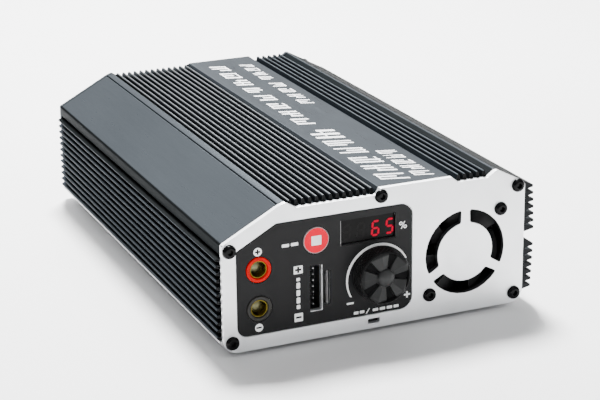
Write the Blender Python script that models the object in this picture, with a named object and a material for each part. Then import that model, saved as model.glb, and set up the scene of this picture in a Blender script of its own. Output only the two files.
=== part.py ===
"""Balance battery charger: a finned aluminium housing with a control panel, a fan and a mains inlet.

Every size is in millimetres until it reaches a mesh. Panel coordinates are used throughout:
x runs right from the front plate's left edge, y runs back from its front face, and z runs up
from its bottom edge. world() shifts them to the object's own frame, whose origin is the centre
of its footprint on the surface it stands on.
"""
from math import asin, atan2, ceil, cos, hypot, pi, radians, sin, tan

import bmesh
import bpy
from mathutils import Matrix, Vector
from mathutils.geometry import delaunay_2d_cdt

MM = 0.001
GAP = 0.3
INSIDE_EDGES = 1

# Front and rear plates, and the length of the body between them
PLATE_W = 132.0
PLATE_H = 58.5
PLATE_T = 2.2
PLATE_CORNER = 5.8
BODY_L = 209.7
DEPTH = PLATE_T + GAP + BODY_L + GAP + PLATE_T
BODY_Y0 = PLATE_T + GAP
BODY_Y1 = BODY_Y0 + BODY_L
REAR_Y0 = BODY_Y1 + GAP

# Top of the housing: chamfer, ridge, two groups of fins and a raised flat between them
TOP_Z = 58.45
TOP_ROOT_Z = 55.6
PLATE_TOP_Z = 55.9
CHAMFER_Z0 = 44.9
CHAMFER_SLOPE = 0.529
GROOVE_X = 24.0
RIDGE_X = 26.6
PLATEAU_X = (66.9, 98.5)
RIGHT_RIDGE_X = (118.3, 119.4)
RIGHT_SLOPE = 0.53
TOP_FIN_PITCH = 2.915
TOP_FINS = ((29.05, 13), (102.5, 5))

# Side fins
FIN_TIP = 0.6
FIN_NOSE = 0.6
FIN_TAPER = 0.17
LEFT_TIP_X = -1.75
LEFT_ROOT_X = 1.3
LEFT_FIN_PITCH = 2.937
LEFT_FIN_Z0 = 6.35
LEFT_FINS = 12
BAND_Z = (40.3, 43.9)
RIGHT_TIP_X = 138.05
RIGHT_ROOT_X = 134.3
RIGHT_FIN_PITCH = 3.0
RIGHT_FIN_Z0 = (5.3, 30.7)
RIGHT_FINS = 7
RIGHT_BULGE = 1.2
SIDE_SLOT_X = 132.9

# Walls and screw channels
WALL = 2.6
INNER_TOP_Z = 53.0
INNER_LEFT_X = 4.6
INNER_RIGHT_X = 130.4
SCREW_R = 1.5
SCREW_HOLE_R = SCREW_R + GAP
SCREW_HEAD_R = 2.85
SCREW_DOME = ((SCREW_HEAD_R, 0.0), (SCREW_HEAD_R, 0.35), (2.45, 0.85), (1.75, 1.32))
SCREW_L = 8.0
HEX_R = 1.25
HEX_DEPTH = 1.12
TOP_SCREWS = ((3.0, 42.2), (67.2, 55.2), (128.6, 50.85))
BASE_SCREWS = ((3.5, 4.45), (127.9, 4.45))
CHANNEL_R = 3.3

# Base tray and feet
TRAY_Z = 0.4
TRAY_T = 1.4
TRAY_LIP_X = (-0.9, 133.6)
TRAY_LIP_Z = (4.3, 4.9)
RAIL_X = (18.0, 110.0)
RAIL_W = 3.0
FOOT_R = 6.0
FOOT_H = 2.6
FOOT_BEVEL = 0.6
FOOT_Z = TRAY_Z - GAP - FOOT_H
FOOT_PLACES = ((16.0, 24.0), (116.0, 24.0), (16.0, 188.0), (116.0, 188.0))

# Overlay on the front plate, set in a pocket
OVERLAY_X = (5.95, 80.8)
OVERLAY_Z = (6.2, 50.45)
OVERLAY_CUT = (22.7, 41.5)
OVERLAY_T = 0.5
POCKET_T = OVERLAY_T + GAP

# Panel controls and sockets
STOP = (39.25, 41.25)
STOP_R = 5.35
STOP_CAP_Y = (-0.2, 1.5)
STOP_STEM_R = 1.8
STOP_STEM_Y = 5.6
SWITCH_SIZE = 6.2
SWITCH_Y = (6.2, 8.7)
SWITCH_PLUNGER_R = 1.5
SWITCH_PLUNGER_Y = (5.9, 7.6)
WINDOW_X = (49.6, 73.9)
WINDOW_Z = (37.0, 47.5)
DISPLAY_Y = 1.1
KNOB = (65.6, 23.8)
KNOB_R = 11.3
KNOB_FRONT_R = 10.9
KNOB_Y = (-9.0, -0.9)
KNOB_HUB_R = 3.7
KNOB_DOME_Y = -9.65
KNOB_DOME = ((1.0, KNOB_Y[0] - 0.05), (0.8, KNOB_DOME_Y + 0.2), (0.45, KNOB_DOME_Y))
KNOB_BLADES = 5
KNOB_PHASE = radians(60)
KNOB_INSERT_T = 2.0
KNOB_STEP_Y = -2.5
KNOB_CAVITY_R = 8.6
KNOB_CAVITY_Y = -5.4
KNOB_BOSS_R = 4.8
KNOB_BOSS_Y = -3.3
SHAFT_R = 2.5
SHAFT_FLAT = 2.0
SHAFT_Y = (-5.8, 6.5)
ENCODER_SIZE = 12.4
ENCODER_Y = (3.2, 8.8)
ENCODER_BUSHING_Y = -2.6
ENCODER_NUT = (5.6, -2.2)
ENCODER_PLUNGER = (2.2, 6.8, 7.8)
BUSHING_R = 3.5
BUSHING_HOLE_R = BUSHING_R + GAP
SOCKETS = {"positive": (15.0, 32.95), "negative": (15.05, 16.85)}
BEZEL_R = 5.2
BEZEL_BODY_R = 4.9
BEZEL_FACE_Y = -0.4
BEZEL_END_Y = 14.0
BARREL_R = 3.5
BARREL_BORE_R = 2.1
BARREL_Y = (0.4, 20.0)
BARREL_LEAD = (3.1, 2.6)
SOCKET_NUT = (6.9, 3.0)
PORT_X = (36.5, 41.75)
PORT_Z = (11.7, 30.85)
KEY_X = (42.4, 45.1)
KEY_Z = (13.75, 27.9)
PINS = 7
PIN_PITCH = 2.5
PIN_W = 0.64
PIN_X = 39.1
PIN_Z = 21.1
PIN_Y = (3.0, 12.6)
PORT_FLOOR_Y = 8.4
SERVICE_X = (61.6, 66.75)
SERVICE_Z = (2.1, 4.1)
SERVICE_Y = (PLATE_T + 1.6, PLATE_T + 6.0)

# Fan
FAN = (104.9, 26.0)
FAN_SIZE = 40.0
FAN_Y = (PLATE_T + 0.6, PLATE_T + 10.6)
FAN_BORE_R = 19.0
FAN_PITCH = 32.0
FAN_BACK_T = 1.6
GRILLE_R = (12.5, 17.85)
GRILLE_SPOKE = 4.0
GRILLE_CORNER = 0.5
ROTOR_R = 18.3
ROTOR_HUB_R = 9.0
ROTOR_BLADES = 7
ROTOR_BLADE_HALF = radians(9)
ROTOR_Y = (FAN_Y[0] + 0.9, FAN_Y[1] - 2.2)
ROTOR_TWIST = radians(28)

# Boards and power parts
BOARD_T = 1.6
BOARD_Y = 10.0
BOARD_X = (8.0, 82.0)
BOARD_Z = (8.2, 45.0)
MAIN_BOARD_Z = 5.9
MAIN_BOARD_X = (9.0, 124.0)
MAIN_BOARD_Y = (20.0, 190.0)
PART_Z = MAIN_BOARD_Z + BOARD_T + GAP
CORE_X = 56.0
CORE_Y = (89.0, 103.0)
CORE_SIZE = (42.0, 36.0)
CORE_LEG = 12.0
CAN_R = 9.0
CAN_H = 38.0
CAN_Y = (140.0, 162.0)
SPREADER_X = 100.0
SPREADER_Y = (50.0, 170.0)
SPREADER_SIZE = (16.0, 36.0, 3.0)

# Mains inlet in the rear plate
INLET = (30.0, 26.0)
INLET_BODY = (27.0, 19.4)
INLET_FLANGE = (31.0, 23.4)
INLET_MOUTH = (23.6, 16.0)
INLET_DEPTH = 15.5
INLET_PROUD = 2.0
INLET_BEVEL = 4.0
INLET_BODY_L = 18.0
INLET_BLADE = (2.0, 4.0)
INLET_BLADE_Y = (-22.0, -0.8)
INLET_BLADES = ((-7.0, -2.0), (7.0, -2.0), (0.0, 2.0))
VENT_X = (62.0, 112.0)
VENT_Z = (13.0, 45.0)
VENT_W = 2.6
VENT_PITCH = 5.0

# The footprint's centre in panel coordinates
CENTRE_X = (LEFT_TIP_X + RIGHT_TIP_X) / 2
CENTRE_Y = (KNOB_DOME_Y + DEPTH + INLET_PROUD) / 2

MATERIALS = {
    "anodised_dark": ((0.045, 0.050, 0.056), 0.42, 0.85),
    "aluminium_silver": ((0.74, 0.75, 0.77), 0.38, 0.9),
    "overlay_black": ((0.022, 0.022, 0.023), 0.55, 0.0),
    "plastic_black": ((0.012, 0.012, 0.013), 0.42, 0.0),
    "plastic_grey": ((0.06, 0.062, 0.065), 0.45, 0.0),
    "plastic_red": ((0.85, 0.03, 0.04), 0.4, 0.0),
    "steel_black": ((0.008, 0.008, 0.009), 0.28, 0.6),
    "steel_bright": ((0.6, 0.6, 0.62), 0.3, 1.0),
    "brass": ((0.72, 0.52, 0.18), 0.28, 1.0),
    "rubber": ((0.02, 0.02, 0.02), 0.8, 0.0),
    "board_green": ((0.02, 0.12, 0.05), 0.5, 0.0),
    "ferrite": ((0.05, 0.05, 0.055), 0.7, 0.1),
    "winding_yellow": ((0.75, 0.55, 0.08), 0.5, 0.0),
}


def clear_scene():
    for item in list(bpy.data.objects):
        bpy.data.objects.remove(item, do_unlink=True)


def material(name):
    found = bpy.data.materials.get(name)
    if found:
        return found
    colour, roughness, metallic = MATERIALS[name]
    made = bpy.data.materials.new(name)
    made.use_nodes = True
    shader = made.node_tree.nodes["Principled BSDF"]
    shader.inputs["Base Color"].default_value = (*colour, 1.0)
    shader.inputs["Roughness"].default_value = roughness
    shader.inputs["Metallic"].default_value = metallic
    made.diffuse_color = (*colour, 1.0)
    return made


def world(x, y, z):
    return Vector((x - CENTRE_X, y - CENTRE_Y, z - FOOT_Z)) * MM


def place(item, at, parent=None):
    """Put an item at a panel point, measured from its parent's own panel point if it has one."""
    bpy.context.collection.objects.link(item)
    item["panel_point"] = at
    item.location = world(*at)
    if parent:
        item.parent = parent
        item.location -= world(*parent["panel_point"])


def add_object(name, bm, finish, at=(0.0, 0.0, 0.0), parent=None, smooth=False):
    """Close the mesh, scale it to metres and place it with its origin at a panel point."""
    bmesh.ops.remove_doubles(bm, verts=bm.verts, dist=0.0005)
    bmesh.ops.recalc_face_normals(bm, faces=bm.faces)
    bmesh.ops.scale(bm, vec=(MM, MM, MM), verts=bm.verts)
    mesh = bpy.data.meshes.new(name)
    bm.to_mesh(mesh)
    bm.free()
    if smooth:
        mesh.shade_smooth()
        mesh.set_sharp_from_angle(angle=radians(35))
    mesh.materials.append(material(finish))
    piece = bpy.data.objects.new(name, mesh)
    place(piece, at, parent)
    return piece


def add_axis(name, at, parent=None):
    """An empty on a joint's axis."""
    axis = bpy.data.objects.new(name, None)
    axis.empty_display_size = 0.01
    place(axis, at, parent)
    return axis


# Outlines: lists of (x, z) points


def circle(centre, radius, count=24, start=0.0):
    cx, cz = centre
    angles = [start + 2 * pi * i / count for i in range(count)]
    return [(cx + radius * cos(a), cz + radius * sin(a)) for a in angles]


def rectangle(x_range, z_range):
    (x0, x1), (z0, z1) = x_range, z_range
    return [(x0, z0), (x1, z0), (x1, z1), (x0, z1)]


def centred(centre, size):
    (cx, cz), (w, h) = centre, size
    return rectangle((cx - w / 2, cx + w / 2), (cz - h / 2, cz + h / 2))


def rounded(corners, step=radians(22)):
    """Replace each (x, z, radius) corner of a counterclockwise outline with an arc."""
    points = []
    for i, (x, z, radius) in enumerate(corners):
        if radius == 0:
            points.append((x, z))
            continue
        px, pz, _ = corners[i - 1]
        nx, nz, _ = corners[(i + 1) % len(corners)]
        before = Vector((px - x, pz - z)).normalized()
        after = Vector((nx - x, nz - z)).normalized()
        half = before.angle(after) / 2
        centre = Vector((x, z)) + (before + after).normalized() * radius / sin(half)
        first = Vector((x, z)) + before * radius / tan(half) - centre
        last = Vector((x, z)) + after * radius / tan(half) - centre
        a0 = atan2(first.y, first.x)
        sweep = (atan2(last.y, last.x) - a0 + pi) % (2 * pi) - pi
        count = max(1, ceil(abs(sweep) / step))
        angles = [a0 + sweep * k / count for k in range(count + 1)]
        points += [(centre.x + radius * cos(a), centre.y + radius * sin(a)) for a in angles]
    return points


def rounded_rectangle(x_range, z_range, radius):
    return rounded([(x, z, radius) for x, z in rectangle(x_range, z_range)])


def chamfer_z(x):
    return CHAMFER_Z0 + CHAMFER_SLOPE * x


def right_chamfer_z(x):
    return PLATE_H - RIGHT_SLOPE * (x - RIGHT_RIDGE_X[1])


def right_tip_x(z):
    """The right fins' tips lie on a shallow bow."""
    middle = (RIGHT_FIN_Z0[0] + RIGHT_FIN_Z0[1] + (RIGHT_FINS - 1) * RIGHT_FIN_PITCH) / 2
    return RIGHT_TIP_X - RIGHT_BULGE * ((z - middle) / middle) ** 2


def fin(root, tip):
    """One tapered fin as (reach, offset) pairs, from its lower root round its tip."""
    wide = FIN_TIP + FIN_TAPER * abs(tip - root)
    shoulder = tip - FIN_NOSE if tip > root else tip + FIN_NOSE
    return [(root, -wide), (shoulder, -FIN_TIP), (tip, -FIN_TIP / 2),
            (tip, FIN_TIP / 2), (shoulder, FIN_TIP), (root, wide)]


def end_plate_outline():
    """The outline shared by the front and rear plates, which hides the fin roots only."""
    left_root = RIDGE_X + (PLATE_H - PLATE_TOP_Z) / 0.6
    right_root = RIGHT_RIDGE_X[0] - 3.7
    return rounded([
        (0.0, 0.0, PLATE_CORNER),
        (PLATE_W, 0.0, PLATE_CORNER),
        (PLATE_W, right_chamfer_z(PLATE_W), 2.6),
        (RIGHT_RIDGE_X[1], PLATE_H, 0.0),
        (RIGHT_RIDGE_X[0], PLATE_H, 0.6),
        (right_root, PLATE_TOP_Z, 0.0),
        (PLATEAU_X[1] + 3.0, PLATE_TOP_Z, 0.0),
        (PLATEAU_X[1], TOP_Z, 0.5),
        (PLATEAU_X[0], TOP_Z, 0.5),
        (PLATEAU_X[0] - 1.6, PLATE_TOP_Z, 0.0),
        (left_root, PLATE_TOP_Z, 0.0),
        (RIDGE_X, PLATE_H, 0.9),
        (GROOVE_X, chamfer_z(GROOVE_X), 0.0),
        (0.0, chamfer_z(0.0), 1.0),
    ])


def overlay_outline(grow=0.0):
    """The overlay's outline, with its corner cut parallel to the housing's chamfer."""
    x0, x1 = OVERLAY_X[0] - grow, OVERLAY_X[1] + grow
    z0, z1 = OVERLAY_Z[0] - grow, OVERLAY_Z[1] + grow
    cut_x, cut_z = OVERLAY_CUT
    run, rise = cut_x - OVERLAY_X[0], OVERLAY_Z[1] - cut_z
    length = hypot(run, rise)
    shift = grow * (length - rise) / run
    shift_up = grow * (length - run) / rise
    return rounded([
        (x0, z0, 3.6 + grow),
        (x1, z0, 5.0 + grow),
        (x1, z1, 4.8 + grow),
        (cut_x - shift, z1, 1.0 + grow),
        (x0, cut_z + shift_up, 1.3 + grow),
    ])


def housing_outline():
    """The extruded section: an arch of wall with fins outside and screw channels inside."""
    foot_z = LEFT_FIN_Z0 - 1.1
    points = [(INNER_LEFT_X, foot_z + 1.4), (LEFT_ROOT_X + 0.9, foot_z + 1.4)]
    points += [(LEFT_ROOT_X + 0.45, foot_z), (LEFT_ROOT_X, foot_z)]
    for i in range(LEFT_FINS):
        z = LEFT_FIN_Z0 + i * LEFT_FIN_PITCH
        points += [(x, z + dz) for x, dz in fin(LEFT_ROOT_X, LEFT_TIP_X)]
    points += [(LEFT_ROOT_X, BAND_Z[0] - 0.5), (0.0, BAND_Z[0] + 0.2), (0.0, BAND_Z[1])]
    points += [(0.2, BAND_Z[1] + 0.7), (0.7, chamfer_z(0.7) - 0.15), (1.2, chamfer_z(1.2))]
    points += [(GROOVE_X - 0.3, chamfer_z(GROOVE_X - 0.3)), (GROOVE_X - 0.1, chamfer_z(GROOVE_X) - 0.8)]
    points += [(GROOVE_X + 0.25, chamfer_z(GROOVE_X) + 0.1), (RIDGE_X, TOP_Z)]
    first_fin = TOP_FINS[0][0]
    points += [(first_fin - 1.15, TOP_Z - 0.8), (first_fin - 1.1, TOP_ROOT_Z)]
    points += top_fins(*TOP_FINS[0])
    points += [(PLATEAU_X[0] - 1.7, TOP_ROOT_Z), (PLATEAU_X[0], TOP_Z), (PLATEAU_X[1], TOP_Z)]
    points += [(PLATEAU_X[1] + 0.2, TOP_Z - 0.7), (PLATEAU_X[1] + 0.9, TOP_Z - 0.9)]
    points += [(PLATEAU_X[1] + 2.6, TOP_ROOT_Z)]
    points += top_fins(*TOP_FINS[1])
    points += [(RIGHT_RIDGE_X[0] - 3.0, TOP_ROOT_Z), (RIGHT_RIDGE_X[0], PLATE_H)]
    points += [(RIGHT_RIDGE_X[1], PLATE_H)]
    points += right_side()
    points += [(RIGHT_ROOT_X, RIGHT_FIN_Z0[0] - 1.2), (INNER_RIGHT_X, RIGHT_FIN_Z0[0] - 1.2)]
    points += housing_inner()
    return points[::-1]


def top_fins(first, count):
    points = []
    for i in range(count):
        x = first + i * TOP_FIN_PITCH
        points += [(x + dx, z) for z, dx in fin(TOP_ROOT_Z, TOP_Z)]
    return points


def right_side():
    """Right fins from the top down; the uppermost one is the end of the chamfer."""
    points = []
    low, high = RIGHT_FIN_Z0
    tops = [high + i * RIGHT_FIN_PITCH for i in range(RIGHT_FINS)][::-1]
    bottoms = [low + i * RIGHT_FIN_PITCH for i in range(RIGHT_FINS)][::-1]
    for group in (tops, bottoms):
        for z in group:
            shape = [(x, z + dz) for x, dz in fin(RIGHT_ROOT_X, right_tip_x(z))][::-1]
            if z == tops[0]:
                edge = right_tip_x(z) - 0.4
                shape = [(edge, right_chamfer_z(edge))] + shape[2:]
            if z == bottoms[0]:
                shape = [(SIDE_SLOT_X, z + 3.7)] + shape[1:]
            points += shape
        if group is tops:
            points.append((SIDE_SLOT_X, tops[-1] - 1.3))
    return points


def housing_inner():
    """The inside of the arch from lower right to lower left, round the three upper channels."""
    (left_x, left_z), (mid_x, mid_z), (right_x, right_z) = TOP_SCREWS
    drop = WALL * hypot(1.0, CHAMFER_SLOPE)
    reach = CHANNEL_R + 0.6
    return [
        (INNER_RIGHT_X, right_z - CHANNEL_R - 1.0),
        (right_x - CHANNEL_R, right_z - CHANNEL_R),
        (right_x - CHANNEL_R, INNER_TOP_Z - 0.6),
        (right_x - CHANNEL_R - 1.2, INNER_TOP_Z),
        (mid_x + reach, INNER_TOP_Z), (mid_x + 2.4, mid_z - CHANNEL_R),
        (mid_x - 2.4, mid_z - CHANNEL_R), (mid_x - reach, INNER_TOP_Z),
        ((INNER_TOP_Z + drop - CHAMFER_Z0) / CHAMFER_SLOPE, INNER_TOP_Z),
        (left_x + CHANNEL_R, chamfer_z(left_x + CHANNEL_R) - drop),
        (left_x + CHANNEL_R, left_z - 2.0), (INNER_LEFT_X, left_z - CHANNEL_R - 1.0),
    ]


def channel_notch(place, top_z):
    """The open-topped groove a base screw runs in, from its right edge to its left."""
    x, z = place
    lift = asin((top_z - z) / SCREW_HOLE_R)
    angles = [lift - (pi + 2 * lift) * k / 8 for k in range(9)]
    return [(x + SCREW_HOLE_R * cos(a), z + SCREW_HOLE_R * sin(a)) for a in angles]


def tray_outline():
    """The base: a flat floor with bevelled sides, a lip under the fins, grooves and rails."""
    (lip_x0, lip_x1), (lip_z0, lip_z1) = TRAY_LIP_X, TRAY_LIP_Z
    floor = TRAY_Z + TRAY_T
    left_x, right_x = BASE_SCREWS[0][0], BASE_SCREWS[1][0]
    low_lip = lip_z1 - 1.1
    points = [(lip_x0, lip_z1), (lip_x0, lip_z0), (1.3, 1.7), (PLATE_CORNER, TRAY_Z)]
    points += [(PLATE_W - PLATE_CORNER, TRAY_Z), (PLATE_W - 1.2, 1.7), (lip_x1, lip_z0 - 1.0)]
    points += [(lip_x1, low_lip), (INNER_RIGHT_X - 0.3, low_lip), (INNER_RIGHT_X - 0.3, lip_z1)]
    points += channel_notch(BASE_SCREWS[1], lip_z1)
    points += [(right_x - 2.7, lip_z1), (right_x - 3.2, floor)]
    for x in reversed(RAIL_X):
        points += [(x + RAIL_W, floor), (x + RAIL_W, MAIN_BOARD_Z - GAP)]
        points += [(x, MAIN_BOARD_Z - GAP), (x, floor)]
    points += [(left_x + 3.2, floor), (left_x + 2.7, lip_z1)]
    return points + channel_notch(BASE_SCREWS[0], lip_z1)


# Solids


def wall(bm, outline, y0, y1):
    """A band of side faces between two copies of an outline; returns both edge rings."""
    rings = []
    for y in (y0, y1):
        verts = [bm.verts.new((x, y, z)) for x, z in outline]
        rings.append(verts)
    near, far = rings
    for i in range(len(outline)):
        j = (i + 1) % len(outline)
        bm.faces.new((near[i], near[j], far[j], far[i]))
    edges = []
    for verts in rings:
        edges.append([bm.edges.get((verts[i - 1], verts[i])) for i in range(len(verts))])
    return edges


def encloses(outline, x, z):
    """Whether a closed outline of (x, z) points goes round a point."""
    inside = False
    for (ax, az), (bx, bz) in zip(outline, outline[1:] + outline[:1]):
        if (az > z) != (bz > z) and x < ax + (z - az) * (bx - ax) / (bz - az):
            inside = not inside
    return inside


def cap(bm, outer, *holes):
    """Fill the flat area inside one ring of edges, leaving out the rings of its holes."""
    verts = list(dict.fromkeys(vert for ring in (outer, *holes) for edge in ring for vert in edge.verts))
    index = {vert: i for i, vert in enumerate(verts)}
    edges = [[index[vert] for vert in edge.verts] for ring in (outer, *holes) for edge in ring]
    flat = [Vector((vert.co.x, vert.co.z)) for vert in verts]
    outlines = [ring_points(ring) for ring in holes]
    _, _, faces, sources, _, _ = delaunay_2d_cdt(flat, edges, [], INSIDE_EDGES, 1e-5)
    for face in faces:
        corners = [verts[sources[i][0]] for i in face]
        x = sum(vert.co.x for vert in corners) / 3
        z = sum(vert.co.z for vert in corners) / 3
        if not any(encloses(outline, x, z) for outline in outlines):
            bm.faces.new(corners)


def ring_points(ring):
    """The (x, z) points of a ring of edges, in order."""
    starts = [set(ring[i - 1].verts) & set(ring[i].verts) for i in range(len(ring))]
    return [(vert.co.x, vert.co.z) for shared in starts for vert in shared]


def add_prism(bm, outline, y0, y1, holes=()):
    bands = [wall(bm, ring, y0, y1) for ring in (outline, *holes)]
    for side in (0, 1):
        cap(bm, *[band[side] for band in bands])


def prism(outline, y0, y1, holes=()):
    bm = bmesh.new()
    add_prism(bm, outline, y0, y1, holes)
    return bm


def stepped(outline, y_levels, pocket, through=(), inner=()):
    """A plate with a pocket in its near face, holes right through it and holes in the pocket."""
    y0, y1, y2 = y_levels
    bm = bmesh.new()
    outer = wall(bm, outline, y0, y2)
    holes = [wall(bm, ring, y0, y2) for ring in through]
    recess = wall(bm, pocket, y0, y1)
    cuts = [wall(bm, ring, y1, y2) for ring in inner]
    cap(bm, outer[0], recess[0], *[ring[0] for ring in holes])
    cap(bm, recess[1], *[ring[0] for ring in cuts])
    cap(bm, outer[1], *[ring[1] for ring in holes], *[ring[1] for ring in cuts])
    return bm


def turned(profile, count=24):
    """Spin (radius, y) points about the Y axis; a zero radius closes on the axis."""
    bm = bmesh.new()
    rings = []
    for radius, y in profile:
        if radius == 0:
            rings.append([bm.verts.new((0.0, y, 0.0))])
            continue
        ring = [bm.verts.new((x, y, z)) for x, z in circle((0.0, 0.0), radius, count)]
        rings.append(ring)
    pairs = list(zip(rings, rings[1:]))
    if len(rings[0]) > 1:
        pairs.append((rings[-1], rings[0]))
    for first, second in pairs:
        for i in range(count):
            j = (i + 1) % count
            corners = [first[i % len(first)], first[j % len(first)]]
            corners += [second[j % len(second)], second[i % len(second)]]
            bm.faces.new(list(dict.fromkeys(corners)))
    return bm


def rod(radius, y0, y1, count=24):
    return turned([(0.0, y0), (radius, y0), (radius, y1), (0.0, y1)], count)


def screw(length, facing=1.0):
    """A button-head screw with a hexagon socket; its head is at -y when facing is 1."""
    count = 18
    bm = bmesh.new()
    profile = [(SCREW_R, length), (SCREW_R, -GAP)]
    profile += [(radius, -GAP - height) for radius, height in SCREW_DOME]
    loops = []
    for radius, y in profile:
        ring = circle((0.0, 0.0), radius, count)
        loops.append([bm.verts.new((x, y * facing, z)) for x, z in ring])
    for first, second in zip(loops, loops[1:]):
        for i in range(count):
            j = (i + 1) % count
            bm.faces.new((first[i], first[j], second[j], second[i]))
    tip = [bm.edges.get((loops[0][i - 1], loops[0][i])) for i in range(count)]
    rim = [bm.edges.get((loops[-1][i - 1], loops[-1][i])) for i in range(count)]
    cap(bm, tip)
    key = circle((0.0, 0.0), HEX_R, 6)
    top = profile[-1][1]
    socket = wall(bm, key, top * facing, (top + HEX_DEPTH) * facing)
    cap(bm, rim, socket[0])
    cap(bm, socket[1])
    return bm


def stand(bm, way=1):
    """Turn a solid made along +y so that it points up, or down when way is -1."""
    bmesh.ops.rotate(bm, verts=bm.verts, matrix=Matrix.Rotation(way * pi / 2, 3, "X"))


def box(x_range, y_range, z_range):
    return prism(rectangle(x_range, z_range), *y_range)


# Sub-parts


def make_shell():
    channels = [circle(place, SCREW_HOLE_R, 12) for place in TOP_SCREWS]
    add_object("housing", prism(housing_outline(), BODY_Y0, BODY_Y1, channels), "anodised_dark")
    add_object("base_tray", prism(tray_outline(), BODY_Y0, BODY_Y1), "aluminium_silver")
    for i, (x, y) in enumerate(FOOT_PLACES):
        edge = [(FOOT_R, 0.0), (FOOT_R, FOOT_H - FOOT_BEVEL), (FOOT_R - FOOT_BEVEL, FOOT_H)]
        foot = turned([(0.0, 0.0), *edge, (0.0, FOOT_H)])
        stand(foot, -1)
        add_object(f"foot_{i + 1}", foot, "rubber", (x, y, TRAY_Z - GAP), smooth=True)


def grille_slot(start):
    """One arc slot of the fan grille, a third of the ring less a spoke, with soft corners."""
    inner_r, outer_r = GRILLE_R
    cx, cz = FAN
    points = []
    for radius, first, last in ((outer_r, 1, -1), (inner_r, -1, 1)):
        inset = (GRILLE_SPOKE / 2 + GRILLE_CORNER) / radius
        angles = (start + inset, start + 2 * pi / 3 - inset)
        a0, a1 = angles if first == 1 else angles[::-1]
        steps = 10
        points += [(radius, a0 + (a1 - a0) * k / steps) for k in range(steps + 1)]
    soft = []
    half = len(points) // 2
    for k, (radius, angle) in enumerate(points):
        side = 1 if k < half else -1
        end = k in (0, half - 1, half, len(points) - 1)
        if not end:
            soft.append((radius, angle))
            continue
        outward = -side if k in (0, half) else side
        corner = (radius - side * GRILLE_CORNER, angle + outward * GRILLE_CORNER / radius)
        soft += [corner, (radius, angle)] if k in (0, half) else [(radius, angle), corner]
    return [(cx + r * cos(a), cz + r * sin(a)) for r, a in soft]


def make_front():
    corner_holes = [circle(place, SCREW_HOLE_R, 16) for place in TOP_SCREWS + BASE_SCREWS]
    fan_holes = [circle(place, SCREW_HOLE_R, 16) for place in fan_screw_places()]
    slots = [grille_slot(radians(90 + 120 * k)) for k in range(3)]
    service = rounded_rectangle(SERVICE_X, SERVICE_Z, 0.4)
    cuts = [
        rectangle(WINDOW_X, WINDOW_Z),
        circle(STOP, STOP_R + GAP, 32),
        circle(KNOB, BUSHING_HOLE_R, 24),
        rectangle(PORT_X, PORT_Z),
        rectangle(KEY_X, KEY_Z),
        *[circle(place, BEZEL_R + GAP, 32) for place in SOCKETS.values()],
    ]
    plate = stepped(end_plate_outline(), (0.0, POCKET_T, PLATE_T), overlay_outline(GAP),
                    corner_holes + fan_holes + slots + [service], cuts)
    add_object("front_plate", plate, "aluminium_silver")
    add_object("front_overlay", prism(overlay_outline(), 0.0, OVERLAY_T, cuts), "overlay_black")


def fan_screw_places():
    cx, cz = FAN
    half = FAN_PITCH / 2
    return [(cx + half, cz + half), (cx - half, cz - half)]


def make_screws():
    for i, (x, z) in enumerate(TOP_SCREWS + BASE_SCREWS):
        add_object(f"front_screw_{i + 1}", screw(SCREW_L), "steel_black", (x, 0.0, z), smooth=True)
        add_object(f"rear_screw_{i + 1}", screw(SCREW_L, -1.0), "steel_black", (x, DEPTH, z), smooth=True)
    for i, (x, z) in enumerate(fan_screw_places()):
        add_object(f"fan_screw_{i + 1}", screw(FAN_Y[1]), "steel_black", (x, 0.0, z), smooth=True)


def make_stop_button():
    x, z = STOP
    axis = add_axis("stop_axis", (x, 0.0, z))
    face, back = STOP_CAP_Y
    bevel = 0.25
    disc = [(0.0, face), (STOP_R - bevel, face), (STOP_R, face + bevel), (STOP_R, back)]
    stem = [(STOP_STEM_R, back), (STOP_STEM_R, STOP_STEM_Y), (0.0, STOP_STEM_Y)]
    add_object("stop_button", turned(disc + stem, 32), "plastic_red", (x, 0.0, z), axis, True)
    plunger = rod(SWITCH_PLUNGER_R, *SWITCH_PLUNGER_Y, 12)
    add_object("stop_plunger", plunger, "plastic_black", (x, 0.0, z), axis, True)
    bore = circle((0.0, 0.0), SWITCH_PLUNGER_R + GAP, 12)
    body = centred((0.0, 0.0), (SWITCH_SIZE, SWITCH_SIZE))
    switch = stepped(body, (*SWITCH_Y, BOARD_Y - GAP), bore)
    add_object("stop_switch", switch, "steel_bright", (x, 0.0, z))


def make_display():
    x_range = (WINDOW_X[0] + GAP, WINDOW_X[1] - GAP)
    z_range = (WINDOW_Z[0] + GAP, WINDOW_Z[1] - GAP)
    add_object("led_display", box(x_range, (DISPLAY_Y, BOARD_Y - GAP), z_range), "plastic_black")


def d_shape(radius, flat, count=20):
    """A circle whose upper side is cut flat, as on a keyed shaft."""
    return [(x, min(z, flat)) for x, z in circle((0.0, 0.0), radius, count)]


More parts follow.
